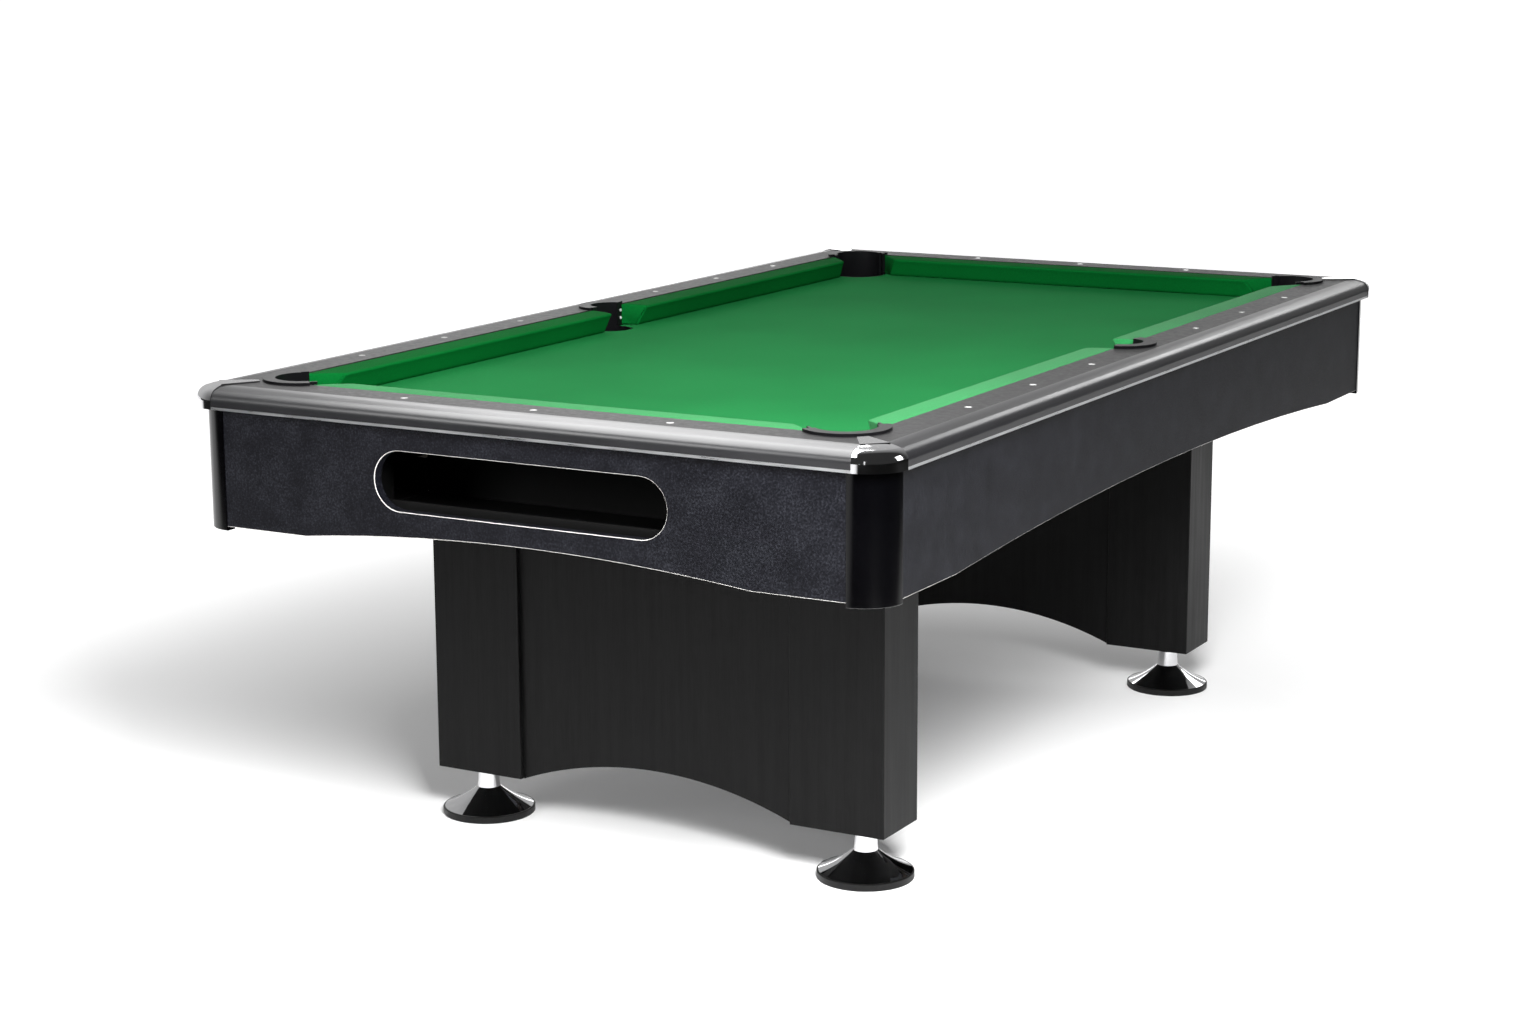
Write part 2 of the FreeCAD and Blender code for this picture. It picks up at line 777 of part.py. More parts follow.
def cut_slot(body, label):
    """The rounded slot through which the balls are taken out."""
    slot = new_sketch(body, f"{label}_slot", "XZ_Plane")
    radius = "(slot_high - slot_low) / 2"
    middle = "(slot_high + slot_low) / 2"
    straight = f"(slot_half_width - {radius})"
    draw_loop(
        slot,
        [
            (f"-{straight}", "slot_low"), (straight, "slot_low"), ("slot_half_width", middle),
            (straight, "slot_high"), (f"-{straight}", "slot_high"), ("-slot_half_width", middle),
        ],
        {1: radius, 2: radius, 4: radius, 5: radius},
    )
    pocket(body, slot)


def on_board_rim(edge, axis, position):
    """True for an edge in the board's outer face that is on its lower rim or on the slot."""
    box_of = edge.BoundBox
    low, high = (box_of.YMin, box_of.YMax) if axis == "y" else (box_of.XMin, box_of.XMax)
    in_face = abs(low - position) < 1e-3 and abs(high - position) < 1e-3
    return in_face and box_of.ZMax < value(APRON_TOP) - 1.0 and not is_upright(edge)


def make_side_apron(label, x_side):
    body = new_body(label)
    outline = new_sketch(body, f"{label}_outline", "YZ_Plane")
    draw_loop(outline, *apron_outline(POST_Y, "side_arch_half", "side_arch_rise"))
    pad(body, outline, "apron_thick")
    outer_x = 0.0 if x_side < 0 else value("apron_thick")
    round_edges(body, "board_edge", lambda edge: on_board_rim(edge, "x", outer_x))
    place(body, x="-apron_half_width" if x_side < 0 else "apron_half_width - apron_thick")
    keep(body, label)


def make_corner_post(name, x_side, y_side):
    """A moulded quarter-round shell that joins two apron boards and stands slightly proud of them."""
    body = new_body(name)
    outline = new_sketch(body, f"{name}_outline", "XY_Plane")
    outer = "(post_corner + post_proud)"
    inner = "(post_corner + post_proud - post_thick)"
    draw_loop(
        outline,
        [(inner, "0"), (outer, "0"), ("0", outer), ("0", inner)],
        {1: outer, 3: f"-{inner}"},
    )
    pad(body, outline, f"{APRON_TOP} - apron_bottom + post_drop")
    rim = value(f"{outer}")
    round_edges(
        body, "post_edge", lambda edge: edge.BoundBox.ZMax < 1e-3 and abs(edge.BoundBox.XMax - rim) < 1e-3
    )
    low = "apron_bottom - post_drop"
    return place(body, f"{x_side} * {POST_X}", f"{y_side} * {POST_Y}", low, corner_turn(x_side, y_side))


def make_aprons():
    for name, side in (("front", -1), ("rear", 1)):
        make_end_apron(f"apron_{name}", side)
    for name, side in SIDES:
        make_side_apron(f"apron_{name}", side)
    posts = [make_corner_post(f"{name}_post", x_side, y_side) for name, x_side, y_side in CORNERS]
    group("corner_posts", posts)


# ---------------------------------------------------------------- slate and cloth


def pocket_holes(sketch, low_y, high_y):
    """Draws the pocket holes whose centres lie between two stations along the table."""
    for x_side in (-1, 1):
        for y_side in (-1, 1):
            if low_y < y_side * value(CORNER_Y) < high_y:
                radius = "corner_pocket_wall + pocket_clear"
                draw_circle(sketch, f"{x_side} * {CORNER_X}", f"{y_side} * {CORNER_Y}", radius)
        if low_y < 0.0 < high_y:
            draw_circle(sketch, f"{x_side} * {SIDE_X}", "0", "side_pocket_wall + pocket_clear")


def bolt_places():
    """Formulas for the rail bolts: three to each cushion."""
    side_x = f"({NOSE_X} + rail_bolt_offset)"
    end_y = f"({NOSE_Y} + rail_bolt_offset)"
    places = []
    for side in (-1, 1):
        places += [(f"{side} * {side_x}", f"{n} * sight_spacing") for n in SIDE_BOLTS]
        places += [(f"{n} * sight_spacing", f"{side} * {end_y}") for n in END_BOLTS]
    return places


def make_slate(label, low, high):
    body = new_body(label)
    outline = new_sketch(body, f"{label}_outline", "XY_Plane")
    wide = "slate_half_width"
    draw_loop(outline, rectangle(f"-{wide}", low, wide, high))
    pad(body, outline, "slate_thick")
    holes = new_sketch(body, f"{label}_pockets", "XY_Plane")
    pocket_holes(holes, value(low), value(high))
    pocket(body, holes, reverse=True)
    drilled = new_sketch(body, f"{label}_bolt_holes", "XY_Plane")
    for x, y in bolt_places():
        if value(low) < value(y) < value(high):
            draw_circle(drilled, x, y, "rail_bolt_hole")
    pocket(body, drilled, reverse=True)
    keep(place(body, z=SLATE_LOW), label)


def make_bed():
    make_slate("slate_front", "-slate_half_length", "-slate_joint")
    make_slate("slate_middle", "-slate_joint", "slate_joint")
    make_slate("slate_rear", "slate_joint", "slate_half_length")
    body = new_body("bed_cloth")
    outline = new_sketch(body, "bed_cloth_outline", "XY_Plane")
    draw_loop(
        outline,
        [(f"-{BACK_X}", f"-{BACK_Y}"), (BACK_X, f"-{BACK_Y}"), (BACK_X, BACK_Y), (f"-{BACK_X}", BACK_Y)],
    )
    pad(body, outline, "cloth_thick")
    holes = new_sketch(body, "bed_cloth_pockets", "XY_Plane")
    pocket_holes(holes, -value(RAIL_Y), value(RAIL_Y))
    pocket(body, holes, reverse=True)
    keep(place(body, z="slate_top"), "bed_cloth")


# ---------------------------------------------------------------- rails


def finish_rail(body, label, sights, notches):
    """Cuts the pocket notches, the sight recesses and the bolt holes of one rail core."""
    notch_sketch = new_sketch(body, f"{label}_notches", "XY_Plane")
    for x, y, radius in notches:
        draw_circle(notch_sketch, x, y, radius)
    pocket(body, notch_sketch, reverse=True)
    recess = new_sketch(body, f"{label}_recesses", "XY_Plane")
    bind(recess, **{"AttachmentOffset.Base.z": "rail_top - slate_top"})
    for x, y in sights:
        draw_circle(recess, x, y, "sight_radius")
    pocket(body, recess, length="sight_depth")
    drilled = new_sketch(body, f"{label}_bolt_holes", "XY_Plane")
    limits = body.Shape.BoundBox
    for x, y in bolt_places():
        if limits.XMin < value(x) < limits.XMax and limits.YMin < value(y) < limits.YMax:
            draw_circle(drilled, x, y, "rail_bolt_radius")
    pocket(body, drilled, length="rail_bolt_top - slate_top", reverse=True)
    keep(place(body, z="slate_top"), label)


def end_sights(side):
    return [(f"{n} * sight_spacing", f"{side} * ({NOSE_Y} + sight_offset)") for n in (-1, 0, 1)]


def side_sights(side):
    return [(f"{side} * ({NOSE_X} + sight_offset)", f"{n} * sight_spacing") for n in (-3, -2, -1, 1, 2, 3)]


def make_rail_cores():
    """Mitred rail cores with the laminated top; both rails share the mitre from pocket to rounded corner."""
    round_x = f"({CAP_X} + {CORE_ROUND} * sqrt(0.5))"
    round_y = f"({CAP_Y} + {CORE_ROUND} * sqrt(0.5))"
    pocket_wide = "corner_pocket_wall + pocket_clear"
    thick = "rail_top - slate_top"
    for name, s in (("front", -1), ("rear", 1)):
        label = f"rail_{name}"
        body = new_body(label)
        outline = new_sketch(body, f"{label}_outline", "XY_Plane")
        draw_loop(
            outline,
            [
                (f"-{BACK_X}", f"{s} * {BACK_Y}"), (BACK_X, f"{s} * {BACK_Y}"),
                (round_x, f"{s} * {round_y}"), (CAP_X, f"{s} * {CORE_Y}"),
                (f"-{CAP_X}", f"{s} * {CORE_Y}"), (f"-{round_x}", f"{s} * {round_y}"),
            ],
            {2: f"{s} * {CORE_ROUND}", 4: f"{s} * {CORE_ROUND}"},
        )
        pad(body, outline, thick)
        notches = [(f"{x} * {CORNER_X}", f"{s} * {CORNER_Y}", pocket_wide) for x in (-1, 1)]
        finish_rail(body, label, end_sights(s), notches)
    for name, s in SIDES:
        label = f"rail_{name}"
        body = new_body(label)
        outline = new_sketch(body, f"{label}_outline", "XY_Plane")
        draw_loop(
            outline,
            [
                (f"{s} * {BACK_X}", f"-{BACK_Y}"), (f"{s} * {round_x}", f"-{round_y}"),
                (f"{s} * {CORE_X}", f"-{CAP_Y}"), (f"{s} * {CORE_X}", CAP_Y),
                (f"{s} * {round_x}", round_y), (f"{s} * {BACK_X}", BACK_Y),
            ],
            {1: f"{s} * {CORE_ROUND}", 3: f"{s} * {CORE_ROUND}"},
        )
        pad(body, outline, thick)
        notches = [(f"{s} * {CORNER_X}", f"{y} * {CORNER_Y}", pocket_wide) for y in (-1, 1)]
        notches.append((f"{s} * {SIDE_X}", "0", "side_pocket_wall + pocket_clear"))
        finish_rail(body, label, side_sights(s), notches)


def bullnose_section(sketch, side):
    """A nose from the rail's flat top down to the trim strip; side is its outward sign."""
    draw_loop(
        sketch,
        [
            ("0", BULLNOSE_LOW),
            (f"{side} * bullnose_width", BULLNOSE_LOW),
            (f"{side} * bullnose_width", "rail_top - bullnose_turn_drop"),
            (f"{side} * bullnose_crown_width", "rail_top - bullnose_crown_drop"),
            ("0", "rail_top"),
        ],
        {2: f"{side} * {TURN_RADIUS}", 3: f"{side} * {CROWN_RADIUS}"},
    )


def make_bullnoses():
    sides = []
    for name, s in SIDES:
        body = new_body(f"{name}_bullnose")
        section = new_sketch(body, f"{name}_bullnose_section", "XZ_Plane")
        bullnose_section(section, s)
        pad(body, section, f"2 * {CAP_Y}", reverse=True)
        sides.append(place(body, x=f"{s} * {CORE_X}", y=f"-{CAP_Y}"))
    group("side_bullnoses", sides)
    ends = []
    for name, s in (("front", -1), ("rear", 1)):
        body = new_body(f"{name}_bullnose")
        section = new_sketch(body, f"{name}_bullnose_section", "YZ_Plane")
        bullnose_section(section, s)
        pad(body, section, f"2 * {CAP_X}")
        ends.append(place(body, x=f"-{CAP_X}", y=f"{s} * {CORE_Y}"))
    group("end_bullnoses", ends)


def make_trim_strips():
    """Flat metal strips between the bullnose and the apron boards, one on each side of the table."""
    inner_x = f"({CORE_X} + strip_inset)"
    inner_y = f"({CORE_Y} + strip_inset)"
    strips = []
    for name, s in SIDES:
        low_x = inner_x if s > 0 else f"-{RAIL_X}"
        strips.append(
            box(
                f"{name}_strip", low_x, f"-{CAP_Y}", APRON_TOP,
                f"{RAIL_X} - {inner_x}", f"2 * {CAP_Y}", "strip_thick",
            )
        )
    for name, s in (("front", -1), ("rear", 1)):
        low_y = inner_y if s > 0 else f"-{RAIL_Y}"
        strips.append(
            box(
                f"{name}_strip", f"-{CAP_X}", low_y, APRON_TOP,
                f"2 * {CAP_X}", f"{RAIL_Y} - {inner_y}", "strip_thick",
            )
        )
    group("trim_strips", strips)


def make_sights_and_bolts():
    places = end_sights(-1) + end_sights(1) + side_sights(-1) + side_sights(1)
    dots = [
        rod(f"sight_{number}", x, y, "rail_top - sight_depth", "sight_radius", "sight_depth")
        for number, (x, y) in enumerate(places, start=1)
    ]
    group("rail_sights", dots)
    bolts = []
    for number, (x, y) in enumerate(bolt_places(), start=1):
        washer_low = f"({SLATE_LOW} - rail_washer_thick)"
        head_low = f"({washer_low} - rail_bolt_head_high)"
        parts = [
            rod(f"bolt_{number}_washer", x, y, washer_low, "rail_washer_radius", "rail_washer_thick"),
            rod(f"bolt_{number}_head", x, y, head_low, "rail_bolt_head", f"{washer_low} - {head_low}"),
            rod(f"bolt_{number}_shank", x, y, head_low, "rail_bolt_radius", f"rail_bolt_top - {head_low}"),
        ]
        bolts.append(joined(f"bolt_{number}", parts))
    group("rail_bolts", bolts)


# ---------------------------------------------------------------- cushions


def cushion_waste(sketch):
    """The two regions outside a cushion's section: the undercut below the nose and the sliver above it."""
    low = "-cushion_clear"
    nose = "(nose_height - slate_top - cloth_thick - cushion_clear)"
    top = "(nose_top - slate_top - cloth_thick - cushion_clear)"
    back_top = "(rail_top - slate_top - cloth_thick - cushion_clear)"
    draw_loop(
        sketch,
        [("-1", low), ("cushion_undercut", low), ("cushion_undercut", "0"), ("0", nose), ("-1", nose)],
    )
    draw_loop(
        sketch,
        [("0", f"{nose} + 0.5"), ("nose_round", top), ("cushion_width", back_top), ("0", back_top)],
    )


def make_side_cushion(name):
    """The cushion of the rear right side, from the side pocket to the corner pocket."""
    body = new_body(name)
    plan = new_sketch(body, f"{name}_plan", "XY_Plane")
    corner_end = f"({NOSE_Y} - corner_cushion_cut)"
    draw_loop(
        plan,
        [
            ("0", "side_nose_cut"), ("cushion_width", "side_back_cut"),
            ("cushion_width", f"{corner_end} + cushion_width"), ("0", corner_end),
        ],
    )
    pad(body, plan, "rail_top - slate_top - cloth_thick - cushion_clear")
    waste = new_sketch(body, f"{name}_waste", "XZ_Plane")
    cushion_waste(waste)
    pocket(body, waste)
    return place(body, x=NOSE_X, z="slate_top + cloth_thick + cushion_clear")


def make_end_cushion(name, end_side):
    """The cushion of one end, drawn along Y and turned to lie along X."""
    body = new_body(name)
    plan = new_sketch(body, f"{name}_plan", "XY_Plane")
    half = f"({NOSE_X} - corner_cushion_cut)"
    draw_loop(
        plan,
        [
            ("0", f"-{half}"), ("cushion_width", f"-{half} - cushion_width"),
            ("cushion_width", f"{half} + cushion_width"), ("0", half),
        ],
    )
    pad(body, plan, "rail_top - slate_top - cloth_thick - cushion_clear")
    waste = new_sketch(body, f"{name}_waste", "XZ_Plane")
    bind(waste, **{"AttachmentOffset.Base.z": f"{half} + cushion_width"})
    cushion_waste(waste)
    pocket(body, waste)
    return place(
        body, y=f"{end_side} * {NOSE_Y}", z="slate_top + cloth_thick + cushion_clear", turn=90.0 * end_side
    )


def make_cushions():
    rear_right = keep(make_side_cushion("rear_right_cushion"), "cushion_right_rear")
    front_right = keep(mirrored("front_right_cushion", rear_right, Vector(0, 1, 0)), "cushion_right_front")
    keep(mirrored("rear_left_cushion", rear_right, Vector(1, 0, 0)), "cushion_left_rear")
    keep(mirrored("front_left_cushion", front_right, Vector(1, 0, 0)), "cushion_left_front")
    keep(make_end_cushion("front_cushion", -1), "cushion_front")
    keep(make_end_cushion("rear_cushion", 1), "cushion_rear")


# ---------------------------------------------------------------- corner caps


def make_corner_cap(name, x_side, y_side):
    """A chrome shell over the rounded rail corner, with a flat tongue that covers the mitre."""
    body = new_body(name)
    section = new_sketch(body, f"{name}_section", "XZ_Plane")
    outer = "(cap_radius + cap_proud)"
    inner = "(cap_radius + cap_proud - cap_thick)"
    low = "(cap_bottom - rail_top)"
    turn_low = "(-bullnose_turn_drop)"
    crown_end = (f"{CORE_ROUND} + bullnose_crown_width", "-bullnose_crown_drop")
    grown = f"(1 + cap_thick / {CROWN_RADIUS})"
    crown_end_outside = (
        f"{CORE_ROUND} + bullnose_crown_width * {grown}",
        f"({CROWN_RADIUS} - bullnose_crown_drop) * {grown} - {CROWN_RADIUS}",
    )
    draw_loop(
        section,
        [
            ("0", "0"),
            (CORE_ROUND, "0"),
            crown_end,
            (inner, turn_low),
            (inner, low),
            (outer, low),
            (outer, turn_low),
            crown_end_outside,
            (CORE_ROUND, "cap_thick"),
            ("0", "cap_thick"),
        ],
        {
            1: f"-{CROWN_RADIUS}",
            2: f"-{TURN_RADIUS}",
            6: f"{TURN_RADIUS} + cap_thick",
            7: f"{CROWN_RADIUS} + cap_thick",
        },
    )
    spin(body, section, 90.0)
    tongue = new_sketch(body, f"{name}_tongue", "XY_Plane")
    near = "(-tongue_inner + tongue_half_width)"
    far = "(-tongue_inner - tongue_half_width)"
    draw_loop(tongue, [(far, near), (near, far), ("tongue_outer", "0"), ("0", "tongue_outer")])
    pad(body, tongue, "tongue_thick")
    return place(
        body, f"{x_side} * {CAP_X}", f"{y_side} * {CAP_Y}", "rail_top", corner_turn(x_side, y_side)
    )


# ---------------------------------------------------------------- pocket liners


def make_liner(name, inside, wall, flange, open_back):
    """A moulded pocket open towards -X: a full tube below the bed and half a tube with a flange above it."""
    body = new_body(name)
    tube = new_sketch(body, f"{name}_tube", "XY_Plane")
    draw_circle(tube, "0", "0", wall)
    draw_circle(tube, "0", "0", inside)
    pad(body, tube, "rail_top - pocket_bottom")
    rim = new_sketch(body, f"{name}_rim", "XY_Plane")
    bind(rim, **{"AttachmentOffset.Base.z": "rail_top - pocket_bottom"})
    draw_circle(rim, "0", "0", flange)
    draw_circle(rim, "0", "0", inside)
    pad(body, rim, "flange_thick")
    mouth = new_sketch(body, f"{name}_mouth", "XY_Plane")
    bind(mouth, **{"AttachmentOffset.Base.z": "slate_top - pocket_bottom"})
    beyond = f"({flange} + 1)"
    draw_loop(mouth, rectangle(f"-{beyond}", f"-{beyond}", open_back, beyond))
    pocket(body, mouth, reverse=True)
    return body


def make_corner_liner(label, x_side, y_side):
    """A corner pocket also has a narrow ear at each end of its half tube, against the cushion's cut end."""
    body = make_liner(label, "corner_pocket_inside", "corner_pocket_wall", "corner_pocket_flange", "0")
    ears = new_sketch(body, f"{label}_ears", "XY_Plane")
    bind(ears, **{"AttachmentOffset.Base.z": "slate_top - pocket_bottom + cloth_thick"})
    inner = "(corner_pocket_wall - pocket_ear_thick)"
    draw_loop(ears, rectangle("-pocket_ear_length", inner, "0", "corner_pocket_wall"))
    draw_loop(ears, rectangle("-pocket_ear_length", "-corner_pocket_wall", "0", f"-{inner}"))
    pad(body, ears, "rail_top - slate_top - cloth_thick + flange_thick")
    place(
        body, f"{x_side} * {CORNER_X}", f"{y_side} * {CORNER_Y}", "pocket_bottom",
        corner_turn(x_side, y_side) + 45.0,
    )
    keep(body, label)


def make_side_liner(label, x_side):
    """A side pocket also has a flat jaw plate on each side, screwed to the rail between liner and cushion."""
    to_rail = "(cushion_width - side_pocket_shift)"
    body = make_liner(label, "side_pocket_inside", "side_pocket_wall", "side_pocket_flange", to_rail)
    jaws = new_sketch(body, f"{label}_jaws", "XY_Plane")
    bind(jaws, **{"AttachmentOffset.Base.z": "slate_top - pocket_bottom + cloth_thick"})
    for side in (-1, 1):
        low = f"{side} * sqrt(side_pocket_inside ^ 2 - {to_rail} ^ 2)"
        draw_loop(
            jaws,
            [
                (to_rail, low), (f"{to_rail} - jaw_plate_thick", low),
                (f"{to_rail} - jaw_plate_thick", f"{side} * (side_back_cut - jaw_plate_clear)"),
                (to_rail, f"{side} * (side_back_cut - jaw_plate_clear)"),
            ],
        )
    pad(body, jaws, "rail_top - slate_top - cloth_thick + flange_thick")
    place(body, f"{x_side} * {SIDE_X}", z="pocket_bottom", turn=0.0 if x_side > 0 else 180.0)
    keep(body, label)


def make_pocket_screws():
    """Two screws through each jaw plate into the rail, with round heads that face the table."""
    face = f"({BACK_X} - jaw_plate_thick)"
    screws = []
    for name, x_side in SIDES:
        for y_side in (-1, 1):
            for row, rise in enumerate(("pocket_screw_low", "pocket_screw_high")):
                y = f"{y_side} * (side_back_cut + side_pocket_wall) / 2"
                tag = f"{name}_screw_{'low' if y_side < 0 else 'high'}_{row}"
                head = rod(
                    f"{tag}_head", f"{x_side} * ({face} - pocket_screw_head)", y, f"slate_top + {rise}",
                    "pocket_screw_radius", "pocket_screw_head", Vector(0, 1, 0), 90.0 * x_side,
                )
                screws.append(head)
    group("pocket_screws", screws)


def make_pockets():
    caps = [make_corner_cap(f"{name}_cap", x_side, y_side) for name, x_side, y_side in CORNERS]
    group("corner_caps", caps)
    for name, x_side, y_side in CORNERS:
        make_corner_liner(f"pocket_{name}", x_side, y_side)
    for name, x_side in SIDES:
        make_side_liner(f"pocket_{name}_middle", x_side)
    make_pocket_screws()


# ---------------------------------------------------------------- build, check and write


def check_model():
    doc.recompute()
    broken = [item.Name for item in doc.Objects if {"Invalid", "Error"} & set(item.State)]
    broken += [item.Label for item in sub_parts if item.Shape.isNull() or not item.Shape.isValid()]
    broken += [item.Label for item in sub_parts if not item.Shape.Solids]
    if broken:
        raise ValueError(f"failed objects: {broken}")


def write_parts():
    os.makedirs("parts", exist_ok=True)
    for item in sub_parts:
        item.Shape.exportStep(f"parts/{item.Label}.step")


fill_sheet()
make_pedestals()
make_feet()
make_beams()
make_perimeter_frame()
make_ball_return()
make_aprons()
make_bed()
make_rail_cores()
make_bullnoses()
make_trim_strips()
make_sights_and_bolts()
make_cushions()
make_pockets()
check_model()
write_parts()
print(len(sub_parts), "nodes written")
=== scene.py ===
import json
import math

import bmesh
import bpy
from mathutils import Euler, Matrix, Vector


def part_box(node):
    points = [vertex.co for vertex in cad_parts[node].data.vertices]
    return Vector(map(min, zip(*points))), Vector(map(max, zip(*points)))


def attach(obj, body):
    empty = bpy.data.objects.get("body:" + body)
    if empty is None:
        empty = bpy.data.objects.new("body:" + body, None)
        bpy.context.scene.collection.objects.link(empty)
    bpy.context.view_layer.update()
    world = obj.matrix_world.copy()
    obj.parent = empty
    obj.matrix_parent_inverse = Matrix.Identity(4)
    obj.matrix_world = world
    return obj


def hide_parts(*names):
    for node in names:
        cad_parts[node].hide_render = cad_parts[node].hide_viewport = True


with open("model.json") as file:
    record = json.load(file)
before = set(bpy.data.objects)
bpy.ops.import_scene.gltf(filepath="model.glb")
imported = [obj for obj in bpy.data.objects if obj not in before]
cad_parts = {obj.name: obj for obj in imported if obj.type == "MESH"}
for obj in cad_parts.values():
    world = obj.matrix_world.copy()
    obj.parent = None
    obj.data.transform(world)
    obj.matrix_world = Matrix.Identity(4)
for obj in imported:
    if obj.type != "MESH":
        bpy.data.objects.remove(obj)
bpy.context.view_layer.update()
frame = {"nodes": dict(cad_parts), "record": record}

MM = 0.001
NODES = frame["nodes"]

# Sizes read from the frame, in metres
CUSHION = {name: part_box(name) for name in NODES if name.startswith("cushion_")}
NOSE_X = CUSHION["cushion_right_rear"][0].x
NOSE_Y = CUSHION["cushion_rear"][0].y
BACK_X = CUSHION["cushion_right_rear"][1].x
BACK_Y = CUSHION["cushion_rear"][1].y
CLOTH_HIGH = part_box("bed_cloth")[1].z

# ---------------------------------------------------------------- camera

CAMERA_PLACE = Vector((2.4552, -4.7345, 1.5632))
CAMERA_PITCH = math.radians(-11.705)
CAMERA_TURN = math.radians(29.158)
CAMERA_ROLL = math.radians(-0.255)
CAMERA_LENS = 67.0
SENSOR_WIDTH = 36.0


def make_camera():
    data = bpy.data.cameras.new("camera")
    data.lens = CAMERA_LENS
    data.sensor_width = SENSOR_WIDTH
    data.sensor_fit = "HORIZONTAL"
    camera = bpy.data.objects.new("camera", data)
    bpy.context.scene.collection.objects.link(camera)
    aim = Euler((math.pi / 2 + CAMERA_PITCH, 0.0, CAMERA_TURN)).to_matrix()
    turn = aim @ Matrix.Rotation(CAMERA_ROLL, 3, "Z")
    camera.matrix_world = Matrix.Translation(CAMERA_PLACE) @ turn.to_4x4()
    bpy.context.scene.camera = camera


# ---------------------------------------------------------------- material helpers


# Blender's wave node makes 20 / tau bands in each unit at a scale of 1
WAVE_NODE_FACTOR = 20.0


class Shader:
    """A Principled material with short ways to add texture nodes to it."""

    def __init__(self, name, colour, roughness, **sockets):
        self.material = bpy.data.materials.new(name)
        self.material.use_nodes = True
        self.tree = self.material.node_tree
        self.surface = self.tree.nodes["Principled BSDF"]
        self.surface.inputs["Base Color"].default_value = (*colour, 1.0)
        self.surface.inputs["Roughness"].default_value = roughness
        for socket, value in sockets.items():
            self.surface.inputs[socket.replace("_", " ")].default_value = value
        self.place = self.tree.nodes.new("ShaderNodeTexCoord").outputs["Object"]

    def link(self, output, target):
        self.tree.links.new(output, target)

    def stretched(self, scale):
        mapping = self.tree.nodes.new("ShaderNodeMapping")
        mapping.inputs["Scale"].default_value = scale
        self.link(self.place, mapping.inputs["Vector"])
        return mapping.outputs["Vector"]

    def noise(self, size, detail=3.0, roughness=0.55, where=None, distortion=0.0):
        """Noise whose largest features are about size metres across."""
        node = self.tree.nodes.new("ShaderNodeTexNoise")
        node.inputs["Scale"].default_value = 1.0 / size
        node.inputs["Detail"].default_value = detail
        node.inputs["Roughness"].default_value = roughness
        node.inputs["Distortion"].default_value = distortion
        self.link(where or self.place, node.inputs["Vector"])
        return node.outputs["Fac"]

    def creases(self, size):
        """How far each point is from the edges between cells of about size metres."""
        node = self.tree.nodes.new("ShaderNodeTexVoronoi")
        node.feature = "DISTANCE_TO_EDGE"
        node.inputs["Scale"].default_value = 1.0 / size
        self.link(self.place, node.inputs["Vector"])
        return node.outputs["Distance"]

    def waves(self, size, direction):
        """Bands across a direction, one in each size metres."""
        node = self.tree.nodes.new("ShaderNodeTexWave")
        node.bands_direction = direction
        node.inputs["Scale"].default_value = math.tau / (WAVE_NODE_FACTOR * size)
        self.link(self.place, node.inputs["Vector"])
        return node.outputs["Fac"]

    def between(self, factor, low, high, start=0.0, end=1.0):
        """Maps a factor from start..end to low..high."""
        node = self.tree.nodes.new("ShaderNodeMapRange")
        node.inputs["From Min"].default_value = start
        node.inputs["From Max"].default_value = end
        node.inputs["To Min"].default_value = low
        node.inputs["To Max"].default_value = high
        self.link(factor, node.inputs["Value"])
        return node.outputs["Result"]

    def maths(self, operation, first, second):
        node = self.tree.nodes.new("ShaderNodeMath")
        node.operation = operation
        for socket, value in zip(node.inputs, (first, second)):
            if isinstance(value, (int, float)):
                socket.default_value = value
            else:
                self.link(value, socket)
        return node.outputs["Value"]

    def colours(self, factor, *stops):
        """A colour ramp; each stop is a position and an RGB colour."""
        ramp = self.tree.nodes.new("ShaderNodeValToRGB")
        elements = ramp.color_ramp.elements
        while len(elements) < len(stops):
            elements.new(0.5)
        for element, (position, colour) in zip(elements, stops):
            element.position = position
            element.color = (*colour, 1.0)
        self.link(factor, ramp.inputs["Fac"])
        self.link(ramp.outputs["Color"], self.surface.inputs["Base Color"])

    def rough(self, factor, low, high, start=0.3, end=0.7):
        self.link(self.between(factor, low, high, start, end), self.surface.inputs["Roughness"])

    def bump(self, height, distance, strength=1.0):
        node = self.tree.nodes.new("ShaderNodeBump")
        node.inputs["Distance"].default_value = distance
        node.inputs["Strength"].default_value = strength
        self.link(height, node.inputs["Height"])
        previous = self.surface.inputs["Normal"]
        if previous.is_linked:
            self.link(previous.links[0].from_socket, node.inputs["Normal"])
        self.link(node.outputs["Normal"], previous)


# ---------------------------------------------------------------- materials


def cloth_material(name, green, sheen):
    """Tightly woven worsted: crossing threads, a little fuzz and slow changes of shade."""
    dark = tuple(0.8 * part for part in green)
    light = tuple(1.15 * part for part in green)
    shader = Shader(name, green, 0.82, Sheen_Weight=sheen, Sheen_Roughness=0.5, Specular_IOR_Level=0.02)
    shader.surface.inputs["Sheen Tint"].default_value = (0.75, 1.0, 0.8, 1.0)
    across = shader.waves(0.0011, "X")
    along = shader.waves(0.0011, "Y")
    weave = shader.maths("MULTIPLY", across, along)
    fuzz = shader.noise(0.004, 6.0, 0.7)
    slow = shader.noise(0.35, 2.0, 0.5)
    shade = shader.maths("ADD", shader.maths("MULTIPLY", fuzz, 0.6), shader.maths("MULTIPLY", slow, 0.4))
    shader.colours(shade, (0.34, dark), (0.66, light))
    shader.rough(fuzz, 0.74, 0.92)
    shader.bump(weave, 0.00012, 0.5)
    shader.bump(fuzz, 0.00025, 0.35)
    return shader.material


